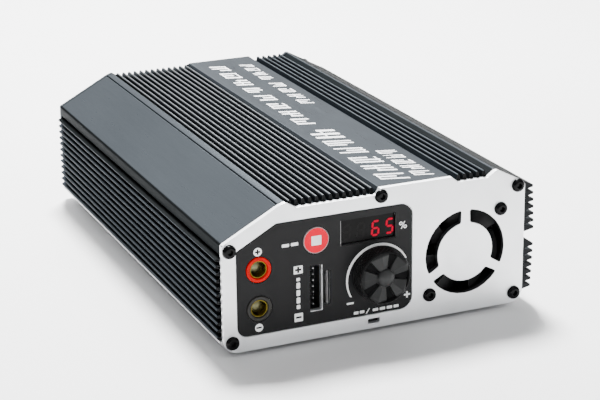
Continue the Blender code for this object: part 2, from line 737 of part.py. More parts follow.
def knob_blades():
    """Five faceted blades with dark gaps between them, around a domed hub, closed behind."""
    gap, start, ridge, end = 0.27, 0.30, 0.64, 0.98
    facets = ((0.0, 1.5), (gap, 1.5), (start, 0.35), (ridge, 0.0), (end, 0.55))
    front, back = KNOB_Y[0], KNOB_Y[0] + KNOB_INSERT_T
    rim_r = KNOB_FRONT_R - 0.5
    bm = bmesh.new()
    rings = {"rim_back": [], "rim": [], "root": []}
    for blade in range(KNOB_BLADES):
        for share, drop in facets:
            angle = KNOB_PHASE + 2 * pi * (blade + share) / KNOB_BLADES
            face = front + drop
            levels = {"rim_back": (rim_r, back), "rim": (rim_r, face), "root": (KNOB_HUB_R, face)}
            for name, (radius, level) in levels.items():
                rings[name].append(bm.verts.new((radius * cos(angle), level, radius * sin(angle))))
    count = len(rings["rim"])
    crown = []
    for part, y in KNOB_DOME:
        crown.append([bm.verts.new((v.co.x * part, y, v.co.z * part)) for v in rings["root"]])
    layers = [*rings.values(), *crown]
    for first, second in zip(layers, layers[1:]):
        for i in range(count):
            j = (i + 1) % count
            bm.faces.new((first[i], first[j], second[j], second[i]))
    bm.faces.new(crown[-1])
    bm.faces.new(rings["rim_back"][::-1])
    return bm


def knob_shell():
    """The knob's skirt, hollow behind, with a seat for the blades and a keyed boss."""
    front, back = KNOB_Y
    step, lip_y, seat = 0.35, front + 0.9, front + KNOB_INSERT_T + GAP
    bm = bmesh.new()
    skirt = [
        wall(bm, circle((0.0, 0.0), KNOB_R, 48), back, KNOB_STEP_Y),
        wall(bm, circle((0.0, 0.0), KNOB_R - step, 48), KNOB_STEP_Y, lip_y),
    ]
    cap(bm, skirt[0][1], skirt[1][0])
    lip = wall(bm, circle((0.0, 0.0), KNOB_FRONT_R - 0.2, 48), seat, lip_y)
    cap(bm, skirt[1][1], lip[1])
    cap(bm, lip[0])
    cavity = wall(bm, circle((0.0, 0.0), KNOB_CAVITY_R, 32), back, KNOB_CAVITY_Y)
    cap(bm, skirt[0][0], cavity[0])
    boss = wall(bm, circle((0.0, 0.0), KNOB_BOSS_R, 24), KNOB_CAVITY_Y, KNOB_BOSS_Y)
    cap(bm, cavity[1], boss[0])
    bore = wall(bm, d_shape(SHAFT_R + GAP, SHAFT_FLAT + GAP), KNOB_BOSS_Y, SHAFT_Y[0] - GAP)
    cap(bm, boss[1], bore[0])
    cap(bm, bore[1])
    return bm


def make_knob():
    x, z = KNOB
    push = add_axis("encoder_push_axis", (x, 0.0, z))
    turn = add_axis("knob_axis", (x, 0.0, z), push)
    at = (x, 0.0, z)
    add_object("knob_body", knob_shell(), "plastic_black", at, turn, True)
    add_object("knob_cap", knob_blades(), "plastic_grey", at, turn)
    shaft = prism(d_shape(SHAFT_R, SHAFT_FLAT), *SHAFT_Y)
    add_object("encoder_shaft", shaft, "steel_bright", at, turn, True)
    add_object("encoder_plunger", rod(*ENCODER_PLUNGER, 16), "plastic_black", at, push, True)

    front, floor = ENCODER_Y
    body = bmesh.new()
    bushing = wall(body, circle((0.0, 0.0), BUSHING_R, 24), ENCODER_BUSHING_Y, front)
    bore = wall(body, circle((0.0, 0.0), SHAFT_R + GAP, 20), ENCODER_BUSHING_Y, floor)
    block = wall(body, centred((0.0, 0.0), (ENCODER_SIZE, ENCODER_SIZE)), front, BOARD_Y - GAP)
    cap(body, bushing[0], bore[0])
    cap(body, block[0], bushing[1])
    cap(body, block[1])
    cap(body, bore[1])
    add_object("encoder_body", body, "steel_bright", at)
    nut_r, nut_y = ENCODER_NUT
    nut = prism(circle((0.0, 0.0), nut_r, 6), nut_y, -GAP, [circle((0.0, 0.0), BUSHING_HOLE_R, 24)])
    add_object("encoder_nut", nut, "steel_bright", at)


def make_sockets():
    near, far = BARREL_Y
    lead_r, lead_y = BARREL_LEAD
    bevel = 0.3
    throat = BARREL_R + GAP
    barrel = [(BARREL_R, near), (BARREL_R, far), (BARREL_BORE_R, far)]
    barrel += [(BARREL_BORE_R, lead_y), (lead_r, near)]
    bezel = [(BEZEL_R - bevel, BEZEL_FACE_Y), (BEZEL_R, BEZEL_FACE_Y + bevel), (BEZEL_R, PLATE_T - bevel)]
    bezel += [(BEZEL_BODY_R, PLATE_T), (BEZEL_BODY_R, BEZEL_END_Y), (throat, BEZEL_END_Y)]
    bezel += [(throat, BEZEL_FACE_Y + bevel), (throat + bevel, BEZEL_FACE_Y)]
    finishes = {"positive": "plastic_red", "negative": "plastic_grey"}
    for pole, (x, z) in SOCKETS.items():
        at = (x, 0.0, z)
        add_object(f"socket_{pole}_barrel", turned(barrel, 28), "brass", at, smooth=True)
        add_object(f"socket_{pole}_bezel", turned(bezel, 32), finishes[pole], at, smooth=True)
        hole = circle((0.0, 0.0), BEZEL_BODY_R + GAP, 24)
        nut_r, nut_t = SOCKET_NUT
        nut = prism(circle((0.0, 0.0), nut_r, 6), PLATE_T + GAP, PLATE_T + nut_t, [hole])
        add_object(f"socket_{pole}_nut", nut, "steel_bright", at)


def pin_places():
    return [PIN_Z + (i - (PINS - 1) / 2) * PIN_PITCH for i in range(PINS)]


def pin_hole(z):
    return centred((PIN_X, z), (PIN_W + 2 * GAP, PIN_W + 2 * GAP))


def make_balance_port():
    mouth = rectangle(PORT_X, PORT_Z)
    edge = 1.0
    shroud = rectangle((PORT_X[0] - edge, KEY_X[1] + edge), (PORT_Z[0] - edge, PORT_Z[1] + edge))
    levels = (PLATE_T + GAP, PORT_FLOOR_Y, BOARD_Y - GAP)
    header = stepped(shroud, levels, mouth, inner=[pin_hole(z) for z in pin_places()])
    add_object("balance_header", header, "plastic_black")
    for i, z in enumerate(pin_places()):
        half = PIN_W / 2
        pin = box((PIN_X - half, PIN_X + half), PIN_Y, (z - half, z + half))
        add_object(f"balance_pin_{i + 1}", pin, "steel_bright")


def make_service_socket():
    edge = 0.4
    (x0, x1), (z0, z1) = SERVICE_X, SERVICE_Z
    outer = rectangle((x0 - edge, x1 + edge), (z0, z1 + edge))
    inner = rectangle(SERVICE_X, (z0 + edge, z1))
    shell = stepped(outer, (PLATE_T + GAP, *SERVICE_Y), inner)
    add_object("service_socket", shell, "steel_bright")


def sector(centre, radii, start, end, count=6):
    inner_r, outer_r = radii
    cx, cz = centre
    spread = [start + (end - start) * k / count for k in range(count + 1)]
    points = [(cx + outer_r * cos(a), cz + outer_r * sin(a)) for a in spread]
    points += [(cx + inner_r * cos(a), cz + inner_r * sin(a)) for a in spread[::-1]]
    return points


def make_fan():
    cx, cz = FAN
    at = (cx, 0.0, cz)
    half, pitch = FAN_SIZE / 2, FAN_PITCH / 2
    outline = rounded_rectangle((-half, half), (-half, half), 3.0)
    corners = [(sx * pitch, sz * pitch) for sx in (-1, 1) for sz in (-1, 1)]
    holes = [circle(place, SCREW_HOLE_R, 12) for place in corners]
    strut = radians(9)
    windows = [sector((0.0, 0.0), (ROTOR_HUB_R + 0.5, FAN_BORE_R - 0.6), a + strut, a + pi / 2 - strut)
               for a in (k * pi / 2 for k in range(4))]
    levels = (FAN_Y[0], FAN_Y[1] - FAN_BACK_T, FAN_Y[1])
    frame = stepped(outline, levels, circle((0.0, 0.0), FAN_BORE_R, 40), holes, windows)
    add_object("fan_frame", frame, "plastic_black", at, smooth=True)

    axis = add_axis("fan_axis", at)
    add_object("fan_rotor", rotor(), "plastic_black", at, axis)


def rotor():
    """A hub with tapered blades, twisted along its length."""
    outline = []
    for i in range(ROTOR_BLADES):
        a, half = 2 * pi * i / ROTOR_BLADES, ROTOR_BLADE_HALF
        tip = half * 0.35
        rest = 2 * pi / ROTOR_BLADES - 2 * half
        outline += [(ROTOR_HUB_R, a - half), (ROTOR_R, a - tip)]
        outline += [(ROTOR_R, a + tip), (ROTOR_HUB_R, a + half)]
        outline += [(ROTOR_HUB_R, a + half + rest * k / 3) for k in (1, 2)]
    bm = bmesh.new()
    layers = []
    front, back = ROTOR_Y
    steps = 3
    for k in range(steps + 1):
        turn = ROTOR_TWIST * k / steps
        y = front + (back - front) * k / steps
        layers.append([bm.verts.new((r * cos(a + turn), y, r * sin(a + turn))) for r, a in outline])
    count = len(outline)
    for first, second in zip(layers, layers[1:]):
        for i in range(count):
            j = (i + 1) % count
            bm.faces.new((first[i], first[j], second[j], second[i]))
    for layer in (layers[0], layers[-1]):
        cap(bm, [bm.edges.get((layer[i - 1], layer[i])) for i in range(count)])
    bmesh.ops.triangulate(bm, faces=bm.faces)
    return bm


def make_boards():
    outline = rectangle(BOARD_X, BOARD_Z)
    notch = [circle(SOCKETS[pole], BEZEL_BODY_R + 1.0, 20) for pole in SOCKETS]
    holes = notch + [pin_hole(z) for z in pin_places()]
    add_object("control_board", prism(outline, BOARD_Y, BOARD_Y + BOARD_T, holes), "board_green")
    board = box(MAIN_BOARD_X, MAIN_BOARD_Y, (MAIN_BOARD_Z, MAIN_BOARD_Z + BOARD_T))
    add_object("main_board", board, "board_green")


def make_transformer():
    """An E core standing on the board, with a coil round its middle leg."""
    wide, tall = CORE_SIZE
    near, far = CORE_Y
    yoke = CORE_LEG / 2
    window_w = (wide - 2 * CORE_LEG) / 2
    windows = []
    for side in (-1, 1):
        x = CORE_X + side * (CORE_LEG + window_w) / 2
        z_range = (PART_Z + yoke, PART_Z + tall - yoke)
        windows.append(rectangle((x - window_w / 2, x + window_w / 2), z_range))
    outline = rectangle((CORE_X - wide / 2, CORE_X + wide / 2), (PART_Z, PART_Z + tall))
    add_object("transformer_core", prism(outline, near, far, windows), "ferrite")

    depth = far - near
    build = window_w - 2 * GAP
    coil = bmesh.new()
    outer = centred((0.0, 0.0), (CORE_LEG + 2 * (build + GAP), depth + 2 * (build + GAP)))
    inner = centred((0.0, 0.0), (CORE_LEG + 2 * GAP, depth + 2 * GAP))
    add_prism(coil, outer, 0.0, tall - 2 * (yoke + GAP), [inner])
    stand(coil)
    at = (CORE_X, (near + far) / 2, PART_Z + yoke + GAP)
    add_object("transformer_winding", coil, "winding_yellow", at)


def make_power_parts():
    for i, y in enumerate(CAN_Y):
        bevel = 1.0
        shoulder = [(CAN_R, 0.0), (CAN_R, CAN_H - bevel), (CAN_R - bevel, CAN_H)]
        can = turned([(0.0, 0.0), *shoulder, (0.0, CAN_H)], 20)
        stand(can)
        add_object(f"capacitor_{i + 1}", can, "plastic_black", (CORE_X, y, PART_Z), smooth=True)

    wide, tall, thick = SPREADER_SIZE
    ell = [(0.0, 0.0), (wide, 0.0), (wide, thick), (thick, thick), (thick, tall), (0.0, tall)]
    outline = [(SPREADER_X + x, PART_Z + z) for x, z in ell]
    add_object("heat_spreader", prism(outline, *SPREADER_Y), "aluminium_silver")


def inlet_mouth(centre, size, bevel):
    """The socket's opening: a rectangle with its two upper corners cut."""
    (cx, cz), (w, h) = centre, size
    x0, x1, z0, z1 = cx - w / 2, cx + w / 2, cz - h / 2, cz + h / 2
    return [(x0, z0), (x1, z0), (x1, z1 - bevel), (x1 - bevel, z1), (x0 + bevel, z1), (x0, z1 - bevel)]


def make_rear():
    holes = [circle(place, SCREW_HOLE_R, 16) for place in TOP_SCREWS + BASE_SCREWS]
    grown = (INLET_BODY[0] + 2 * GAP, INLET_BODY[1] + 2 * GAP)
    holes.append(centred(INLET, grown))
    count = int((VENT_X[1] - VENT_X[0]) / VENT_PITCH) + 1
    for i in range(count):
        x = VENT_X[0] + i * VENT_PITCH
        holes.append(rounded_rectangle((x - VENT_W / 2, x + VENT_W / 2), VENT_Z, VENT_W / 2 - 0.05))
    add_object("rear_plate", prism(end_plate_outline(), REAR_Y0, DEPTH, holes), "anodised_dark")

    face = DEPTH + GAP
    bm = bmesh.new()
    front = DEPTH + INLET_PROUD
    flange = wall(bm, centred(INLET, INLET_FLANGE), face, front)
    end = face - INLET_BODY_L
    body = wall(bm, centred(INLET, INLET_BODY), face, end)
    floor = front - INLET_DEPTH
    mouth = wall(bm, inlet_mouth(INLET, INLET_MOUTH, INLET_BEVEL), front, floor)
    wide, tall = INLET_BLADE
    slot = (wide + 2 * GAP, tall + 2 * GAP)
    places = [(INLET[0] + x, INLET[1] + z) for x, z in INLET_BLADES]
    slots = [wall(bm, centred(place, slot), floor, end) for place in places]
    cap(bm, flange[0], body[0])
    cap(bm, flange[1], mouth[0])
    cap(bm, mouth[1], *[ring[0] for ring in slots])
    cap(bm, body[1], *[ring[1] for ring in slots])
    add_object("inlet_housing", bm, "plastic_black")
    near, far = INLET_BLADE_Y
    for i, place in enumerate(places):
        blade = prism(centred(place, INLET_BLADE), face + near, face + far)
        add_object(f"inlet_pin_{i + 1}", blade, "steel_bright")


def build():
    clear_scene()
    make_shell()
    make_front()
    make_screws()
    make_stop_button()
    make_display()
    make_knob()
    make_sockets()
    make_balance_port()
    make_service_socket()
    make_fan()
    make_boards()
    make_transformer()
    make_power_parts()
    make_rear()


build()
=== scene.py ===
"""The looks of a balance battery charger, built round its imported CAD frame.

Sizes are in millimetres in the panel's own coordinates: x right, y back and z up from the lower
left corner of the front plate's front face. to_row() turns them into the frame's metres.
"""
from math import atan2, ceil, cos, hypot, pi, radians, sin, tan

import bmesh
import bpy
from mathutils import Matrix, Vector
from mathutils.geometry import delaunay_2d_cdt


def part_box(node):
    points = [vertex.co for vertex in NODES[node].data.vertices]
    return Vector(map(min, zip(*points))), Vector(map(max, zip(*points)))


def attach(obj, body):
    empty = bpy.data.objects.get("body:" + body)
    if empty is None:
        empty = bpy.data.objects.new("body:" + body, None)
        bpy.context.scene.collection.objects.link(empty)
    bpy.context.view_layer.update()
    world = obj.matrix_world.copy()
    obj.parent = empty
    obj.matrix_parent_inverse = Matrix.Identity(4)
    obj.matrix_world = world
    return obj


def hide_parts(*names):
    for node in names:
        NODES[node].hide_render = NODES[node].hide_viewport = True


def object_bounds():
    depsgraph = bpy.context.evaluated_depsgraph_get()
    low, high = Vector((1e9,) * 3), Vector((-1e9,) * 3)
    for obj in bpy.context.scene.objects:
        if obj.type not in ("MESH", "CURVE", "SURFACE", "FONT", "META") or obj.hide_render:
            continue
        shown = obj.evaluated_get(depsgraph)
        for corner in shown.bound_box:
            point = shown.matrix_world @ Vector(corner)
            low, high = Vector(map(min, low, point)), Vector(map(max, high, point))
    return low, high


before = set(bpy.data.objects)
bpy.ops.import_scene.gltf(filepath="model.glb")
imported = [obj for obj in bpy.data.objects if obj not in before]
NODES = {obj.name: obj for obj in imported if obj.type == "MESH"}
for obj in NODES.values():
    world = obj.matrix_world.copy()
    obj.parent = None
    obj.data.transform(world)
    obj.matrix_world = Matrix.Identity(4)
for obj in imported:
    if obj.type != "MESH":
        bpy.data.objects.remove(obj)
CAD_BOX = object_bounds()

MM = 0.001
ORIGIN = Vector(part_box("front_plate")[0])
DEPTH = (Vector(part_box("rear_plate")[1]).y - ORIGIN.y) / MM
PLATE_T = 2.2
TOP_Z = 58.45


def to_row(x, y, z):
    return ORIGIN + Vector((x, y, z)) * MM


def panel_box(node):
    """A node's lowest and highest corners, in panel millimetres."""
    return [(Vector(corner) - ORIGIN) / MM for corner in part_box(node)]


def panel_centre(piece, face):
    return (piece.matrix_world @ face.center - ORIGIN) / MM


# Outlines


def around(centre, radius, a):
    """The point at an angle on a circle."""
    return centre[0] + radius * cos(a), centre[1] + radius * sin(a)


def circle(centre, radius, count=40, start=0.0):
    return [around(centre, radius, start + 2 * pi * i / count) for i in range(count)]


def arc(centre, radius, first, last, count):
    return [around(centre, radius, radians(first + (last - first) * i / count)) for i in range(count + 1)]


def rectangle(x0, x1, z0, z1):
    return [(x0, z0), (x1, z0), (x1, z1), (x0, z1)]


def area(loop):
    return sum(ax * bz - bx * az for (ax, az), (bx, bz) in zip(loop, loop[1:] + loop[:1])) / 2


def facing(loop, sign):
    """The loop run counterclockwise for sign 1, clockwise for sign -1."""
    return loop if area(loop) * sign > 0 else loop[::-1]


def rounded(loop, radius, step=30, least=18):
    """Round every corner that turns more than least degrees."""
    points = []
    count = len(loop)
    for i, corner in enumerate(loop):
        p, c, n = Vector(loop[i - 1]), Vector(corner), Vector(loop[(i + 1) % count])
        before, after = p - c, n - c
        short = min(before.length, after.length)
        if short < 1e-4:
            continue
        turn = pi - before.angle(after)
        if turn < radians(least):
            points.append((c.x, c.y))
            continue
        reach = min(radius * tan(turn / 2), 0.45 * short)
        fit = reach / tan(turn / 2)
        before.normalize()
        after.normalize()
        middle = c + (before + after).normalized() * fit / cos(turn / 2)
        first, last = c + before * reach - middle, c + after * reach - middle
        a0 = atan2(first.y, first.x)
        sweep = (atan2(last.y, last.x) - a0 + pi) % (2 * pi) - pi
        parts = max(1, ceil(abs(sweep) / radians(step)))
        for k in range(parts + 1):
            a = a0 + sweep * k / parts
            points.append((middle.x + fit * cos(a), middle.y + fit * sin(a)))
    return points


def offset(loop, distance):
    """Move a loop to its left: into the material when outer loops turn left and holes right."""
    moved = []
    count = len(loop)
    for i, (x, z) in enumerate(loop):
        (px, pz), (nx, nz) = loop[i - 1], loop[(i + 1) % count]
        a = Vector((x - px, z - pz)).normalized()
        b = Vector((nx - x, nz - z)).normalized()
        na, nb = Vector((-a.y, a.x)), Vector((-b.y, b.x))
        bisector = na + nb
        if bisector.length < 1e-6:
            moved.append((x, z))
            continue
        bisector.normalize()
        scale = min(1.6, 1 / max(0.3, bisector.dot(na)))
        moved.append((x + bisector.x * distance * scale, z + bisector.y * distance * scale))
    return moved


def encloses(loop, x, z):
    inside = False
    for (ax, az), (bx, bz) in zip(loop, loop[1:] + loop[:1]):
        if (az > z) != (bz > z) and x < ax + (z - az) * (bx - ax) / (bz - az):
            inside = not inside
    return inside


def cad_loops(name, y):
    """The outlines of a CAD node's flat face at one depth, largest first."""
    points, edges = {}, {}
    mesh = NODES[name].data
    local = [(v.co - ORIGIN) / MM for v in mesh.vertices]
    for polygon in mesh.polygons:
        corners = [local[i] for i in polygon.vertices]
        if any(abs(c.y - y) > 0.01 for c in corners):
            continue
        keys = [(round(c.x, 2), round(c.z, 2)) for c in corners]
        for key, c in zip(keys, corners):
            points[key] = (c.x, c.z)
        for a, b in zip(keys, keys[1:] + keys[:1]):
            side = (b, a) if (b, a) in edges else (a, b)
            edges[side] = edges.get(side, 0) + 1
    links = {}
    for (a, b), used in edges.items():
        if used == 1:
            links.setdefault(a, []).append(b)
            links.setdefault(b, []).append(a)
    loops = []
    while links:
        start = next(iter(links))
        chain, here, last = [start], start, None
        while True:
            ways = [k for k in links.pop(here, []) if k != last and (k in links or k == start)]
            if not ways or (ways[0] == start and len(chain) > 2):
                break
            last, here = here, ways[0]
            chain.append(here)
        loops.append([points[k] for k in chain])
    return sorted(loops, key=lambda loop: -abs(area(loop)))


# Solids


class Solid:
    """A mesh under construction, in panel millimetres."""

    def __init__(self):
        self.bm = bmesh.new()

    def ring(self, loop, y, plane="xz"):
        if plane == "xz":
            return [self.bm.verts.new((x, y, z)) for x, z in loop]
        return [self.bm.verts.new((x, z, y)) for x, z in loop]

    def skin(self, first, second):
        count = len(first)
        for i in range(count):
            j = (i + 1) % count
            self.bm.faces.new((first[i], first[j], second[j], second[i]))

    def wall(self, loop, levels, plane="xz"):
        """Side faces through (y, inset) levels; returns the first and the last ring."""
        rings = [self.ring(offset(loop, inset) if inset else loop, y, plane) for y, inset in levels]
        for first, second in zip(rings, rings[1:]):
            self.skin(first, second)
        return rings[0], rings[-1]

    def cap(self, outer, *holes, plane="xz"):
        k = 2 if plane == "xz" else 1
        verts = [v for ring in (outer, *holes) for v in ring]
        flat = [Vector((v.co.x, v.co[k])) for v in verts]
        edges, start = [], 0
        for ring in (outer, *holes):
            n = len(ring)
            edges += [(start + i, start + (i + 1) % n) for i in range(n)]
            start += n
        gaps = [[(v.co.x, v.co[k]) for v in ring] for ring in holes]
        _, _, faces, sources, _, _ = delaunay_2d_cdt(flat, edges, [], 1, 1e-6)
        for face in faces:
            if any(not sources[i] for i in face):
                continue
            corners = [verts[sources[i][0]] for i in face]
            x = sum(v.co.x for v in corners) / 3
            z = sum(v.co[k] for v in corners) / 3
            if not any(encloses(gap, x, z) for gap in gaps):
                self.bm.faces.new(corners)

    def prism(self, loops, y0, y1, soft=0.0, soft_back=None, plane="xz"):
        """An outline with holes, drawn from y0 to y1, its edges softened by a small radius."""
        back = soft if soft_back is None else soft_back
        levels = near_levels(y0, soft) + near_levels(y1, -back)[::-1]
        rings = [self.wall(facing(loop, 1 if i == 0 else -1), levels, plane) for i, loop in enumerate(loops)]
        for side in (0, 1):
            self.cap(*[ring[side] for ring in rings], plane=plane)
        return self

    def turned(self, profile, centre=(0.0, 0.0), count=40, wave=None):
        """Spin (radius, y) points about the y axis through a centre."""
        cx, cz = centre
        rings = []
        for i, (radius, y) in enumerate(profile):
            if radius == 0:
                rings.append([self.bm.verts.new((cx, y, cz))])
                continue
            ring = []
            for k in range(count):
                a = 2 * pi * k / count
                r = radius + (wave(i, k) if wave else 0.0)
                ring.append(self.bm.verts.new((cx + r * cos(a), y, cz + r * sin(a))))
            rings.append(ring)
        pairs = list(zip(rings, rings[1:]))
        if len(rings[0]) > 1 and len(rings[-1]) > 1:
            pairs.append((rings[-1], rings[0]))
        for first, second in pairs:
            for i in range(count):
                j = (i + 1) % count
                corners = [first[i % len(first)], first[j % len(first)]]
                corners += [second[j % len(second)], second[i % len(second)]]
                corners = list(dict.fromkeys(corners))
                if len(corners) > 2:
                    self.bm.faces.new(corners)
        return self

    def make(self, name, material, body="charger", instead=(), slot=None, sharp=32, flat_caps=True):
        bm = self.bm
        bmesh.ops.remove_doubles(bm, verts=bm.verts, dist=0.0002)
        bmesh.ops.recalc_face_normals(bm, faces=bm.faces)
        bmesh.ops.scale(bm, vec=(MM, MM, MM), verts=bm.verts)
        bmesh.ops.translate(bm, vec=ORIGIN, verts=bm.verts)
        mesh = bpy.data.meshes.new(name)
        bm.to_mesh(mesh)
        bm.free()
        mesh.shade_smooth()
        mesh.set_sharp_from_angle(angle=radians(sharp))
        mesh.materials.append(material)
        piece = bpy.data.objects.new(name, mesh)
        bpy.context.scene.collection.objects.link(piece)
        if flat_caps:
            weighted = piece.modifiers.new("flat faces stay flat", "WEIGHTED_NORMAL")
            weighted.keep_sharp = True
        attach(piece, body)
        if instead:
            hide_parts(*instead)
        return piece


def near_levels(y, soft):
    """Depths and insets of a softened edge, from the face inwards; soft is negative at a far face."""
    if not soft:
        return [(y, 0.0)]
    size = abs(soft)
    return [(y, size), (y + soft * 0.29, size * 0.29), (y + soft, 0.0)]


# Materials


class Look:
    """A node material under construction."""

    def __init__(self, name):
        self.material = bpy.data.materials.new(name)
        self.material.use_nodes = True
        self.nodes = self.material.node_tree.nodes
        self.links = self.material.node_tree.links
        self.shader = self.nodes["Principled BSDF"]
        self.coords = self.nodes.new("ShaderNodeTexCoord").outputs["Object"]

    def noise(self, size_mm, stretch=(1, 1, 1), detail=3.0, rough=0.55):
        """Noise whose features are about size_mm, drawn out along each axis by stretch."""
        mapping = self.nodes.new("ShaderNodeMapping")
        mapping.inputs["Scale"].default_value = [1 / (s * size_mm * MM) for s in stretch]
        self.links.new(self.coords, mapping.inputs["Vector"])
        noise = self.nodes.new("ShaderNodeTexNoise")
        noise.inputs["Scale"].default_value = 1.0
        noise.inputs["Detail"].default_value = detail
        noise.inputs["Roughness"].default_value = rough
        self.links.new(mapping.outputs["Vector"], noise.inputs["Vector"])
        return noise.outputs["Fac"]

    def ramp(self, value, low, high, out_low, out_high):
        node = self.nodes.new("ShaderNodeMapRange")
        ends = {"From Min": low, "From Max": high, "To Min": out_low, "To Max": out_high}
        for socket, number in ends.items():
            node.inputs[socket].default_value = number
        self.links.new(value, node.inputs["Value"])
        return node.outputs["Result"]

    def mix(self, factor, first, second):
        node = self.nodes.new("ShaderNodeMix")
        node.data_type = "RGBA"
        for socket, value in ((node.inputs[6], first), (node.inputs[7], second)):
            if isinstance(value, tuple):
                socket.default_value = (*value, 1.0)
            else:
                self.links.new(value, socket)
        self.links.new(factor, node.inputs[0])
        return node.outputs[2]

    def bump(self, height, strength, distance_mm, under=None):
        node = self.nodes.new("ShaderNodeBump")
        node.inputs["Strength"].default_value = strength
        node.inputs["Distance"].default_value = distance_mm * MM
        self.links.new(height, node.inputs["Height"])
        if under:
            self.links.new(under, node.inputs["Normal"])
        return node.outputs["Normal"]

    def done(self, colour, roughness, normal=None, metallic=0.0, **constants):
        for socket, value in (("Base Color", colour), ("Roughness", roughness)):
            if isinstance(value, tuple):
                self.shader.inputs[socket].default_value = (*value, 1.0)
            elif isinstance(value, float):
                self.shader.inputs[socket].default_value = value
            else:
                self.links.new(value, self.shader.inputs[socket])
        self.shader.inputs["Metallic"].default_value = metallic
        if normal:
            self.links.new(normal, self.shader.inputs["Normal"])
        for socket, value in constants.items():
            self.shader.inputs[socket.replace("_", " ")].default_value = value
        return self.material


def shade(colour, factor):
    return tuple(min(1.0, c * factor) for c in colour)


def grained(name, colour, roughness, metallic=0.0, grain=0.5, bump=0.02, vary=0.12, **constants):
    """A surface with fine grain, broad tone changes, worn patches and uneven gloss."""
    look = Look(name)
    fine = look.noise(grain)
    broad = look.noise(24.0, detail=4.0)
    wear = look.noise(5.0, detail=6.0, rough=0.7)
    darker, lighter = shade(colour, 1 - vary * 0.6), shade(colour, 1 + vary * 0.6)
    tone = look.mix(look.ramp(broad, 0.3, 0.7, 0.0, 1.0), darker, lighter)
    tone = look.mix(look.ramp(fine, 0.35, 0.65, 0.0, 0.45), tone, shade(colour, 1 + vary))
    tone = look.mix(look.ramp(wear, 0.62, 0.8, 0.0, 0.35), tone, shade(colour, 1 + 2 * vary))
    gloss = look.ramp(wear, 0.3, 0.75, roughness - 0.05, roughness + 0.07)
    normal = look.bump(fine, 0.5, bump)
    return look.done(tone, gloss, normal, metallic, **constants)


def extruded(name, colour, roughness, metallic, streak=0.35, **constants):
    """Anodised extrusion: die lines along y, a fine blasted grain and scattered rubs."""
    look = Look(name)
    lines = look.noise(streak, (1, 160, 1), 2.0)
    grain = look.noise(0.3, detail=2.0)
    broad = look.noise(40.0, (1, 3, 1), 3.0)
    rub = look.noise(3.0, (1, 6, 1), 6.0, 0.75)
    tone = look.mix(look.ramp(broad, 0.3, 0.7, 0.0, 1.0), shade(colour, 0.92), shade(colour, 1.08))
    tone = look.mix(look.ramp(lines, 0.35, 0.7, 0.0, 0.35), tone, shade(colour, 1.22))
    tone = look.mix(look.ramp(grain, 0.45, 0.75, 0.0, 0.30), tone, shade(colour, 1.35))
    tone = look.mix(look.ramp(rub, 0.66, 0.82, 0.0, 0.4), tone, shade(colour, 1.6))
    gloss = look.ramp(rub, 0.3, 0.75, roughness - 0.04, roughness + 0.08)
    normal = look.bump(lines, 0.35, 0.02)
    normal = look.bump(grain, 0.3, 0.015, normal)
    return look.done(tone, gloss, normal, metallic, **constants)


def glowing(name, colour, strength):
    """A lit segment: a faintly uneven tone that gives its own light."""
    look = Look(name)
    grain = look.noise(0.6)
    tone = look.mix(look.ramp(grain, 0.3, 0.7, 0.0, 1.0), shade(colour, 0.85), colour)
    look.shader.inputs["Emission Color"].default_value = (*colour, 1.0)
    look.shader.inputs["Emission Strength"].default_value = strength
    return look.done(tone, 0.4, Specular_IOR_Level=0.0)


HOUSING = extruded("anodised_gunmetal", (0.047, 0.053, 0.059), 0.30, 1.0,
                   Specular_Tint=(0.45, 0.45, 0.45, 1.0))
# A darker copy of the coat on the upper left band: painted shade.
LEFT_SIDE_SHADE = extruded("painted_shade_left_side", (0.020, 0.0215, 0.022), 0.30, 1.0,
                     Specular_Tint=(0.42, 0.42, 0.42, 1.0))
# A darker, unreflective copy of the coat on the slopes right of the raised flat that face up and right:
# painted shade.
RIGHT_SLOPE_SHADE = extruded("painted_shade_right_slope", (0.0105, 0.0114, 0.0114), 0.55, 0.0,
                       Specular_IOR_Level=0.01)
# A darker copy of the coat on the ridge's edge and on the rise right of the raised flat: painted shade.
RISE_SHADE = extruded("painted_shade_rises", (0.021, 0.023, 0.024), 0.30, 1.0,
                      Specular_Tint=(0.4, 0.4, 0.4, 1.0))
# A darker copy of the coat on the extrusion's end faces: painted shade.
FIN_END_SHADE = extruded("painted_shade_fin_end", (0.013, 0.0135, 0.014), 0.40, 1.0,
                   Specular_Tint=(0.4, 0.4, 0.4, 1.0))
# A lighter copy of the coat on the tops of the middle top fins: painted highlight.
FIN_EDGE_HIGHLIGHT = extruded("painted_highlight_fin_edge", (0.070, 0.076, 0.082), 0.30, 1.0,
                    Specular_Tint=(0.6, 0.6, 0.6, 1.0))
PLATE = grained("blasted_silver", (0.86, 0.87, 0.885), 0.42, 0.9, 0.45, 0.012, 0.05)
TRAY = extruded("mill_aluminium", (0.62, 0.62, 0.63), 0.36, 0.95)
OVERLAY = grained("overlay_film", (0.009, 0.009, 0.0095), 0.5, 0.0, 0.35, 0.006, 0.12,
                  Specular_IOR_Level=0.15)
INK = grained("screen_ink", (0.95, 0.95, 0.94), 0.5, 0.0, 0.3, 0.004, 0.05)
TOP_INK = grained("top_ink", (0.78, 0.79, 0.80), 0.5, 0.0, 0.3, 0.004, 0.08)
RED = grained("red_cap", (0.80, 0.001, 0.030), 0.45, 0.0, 0.5, 0.005, 0.08,
              Specular_IOR_Level=0.03)
SOCKET_RED = grained("red_collar", (0.50, 0.0005, 0.001), 0.38, 0.0, 0.6, 0.006, 0.08,
                     Specular_IOR_Level=0.06)
SOCKET_BLACK = grained("black_collar", (0.022, 0.021, 0.019), 0.4, 0.0, 0.6, 0.006, 0.15,
                       Specular_IOR_Level=0.2)
BRASS = grained("turned_brass", (0.13, 0.100, 0.014), 0.28, 1.0, 0.25, 0.008, 0.16)
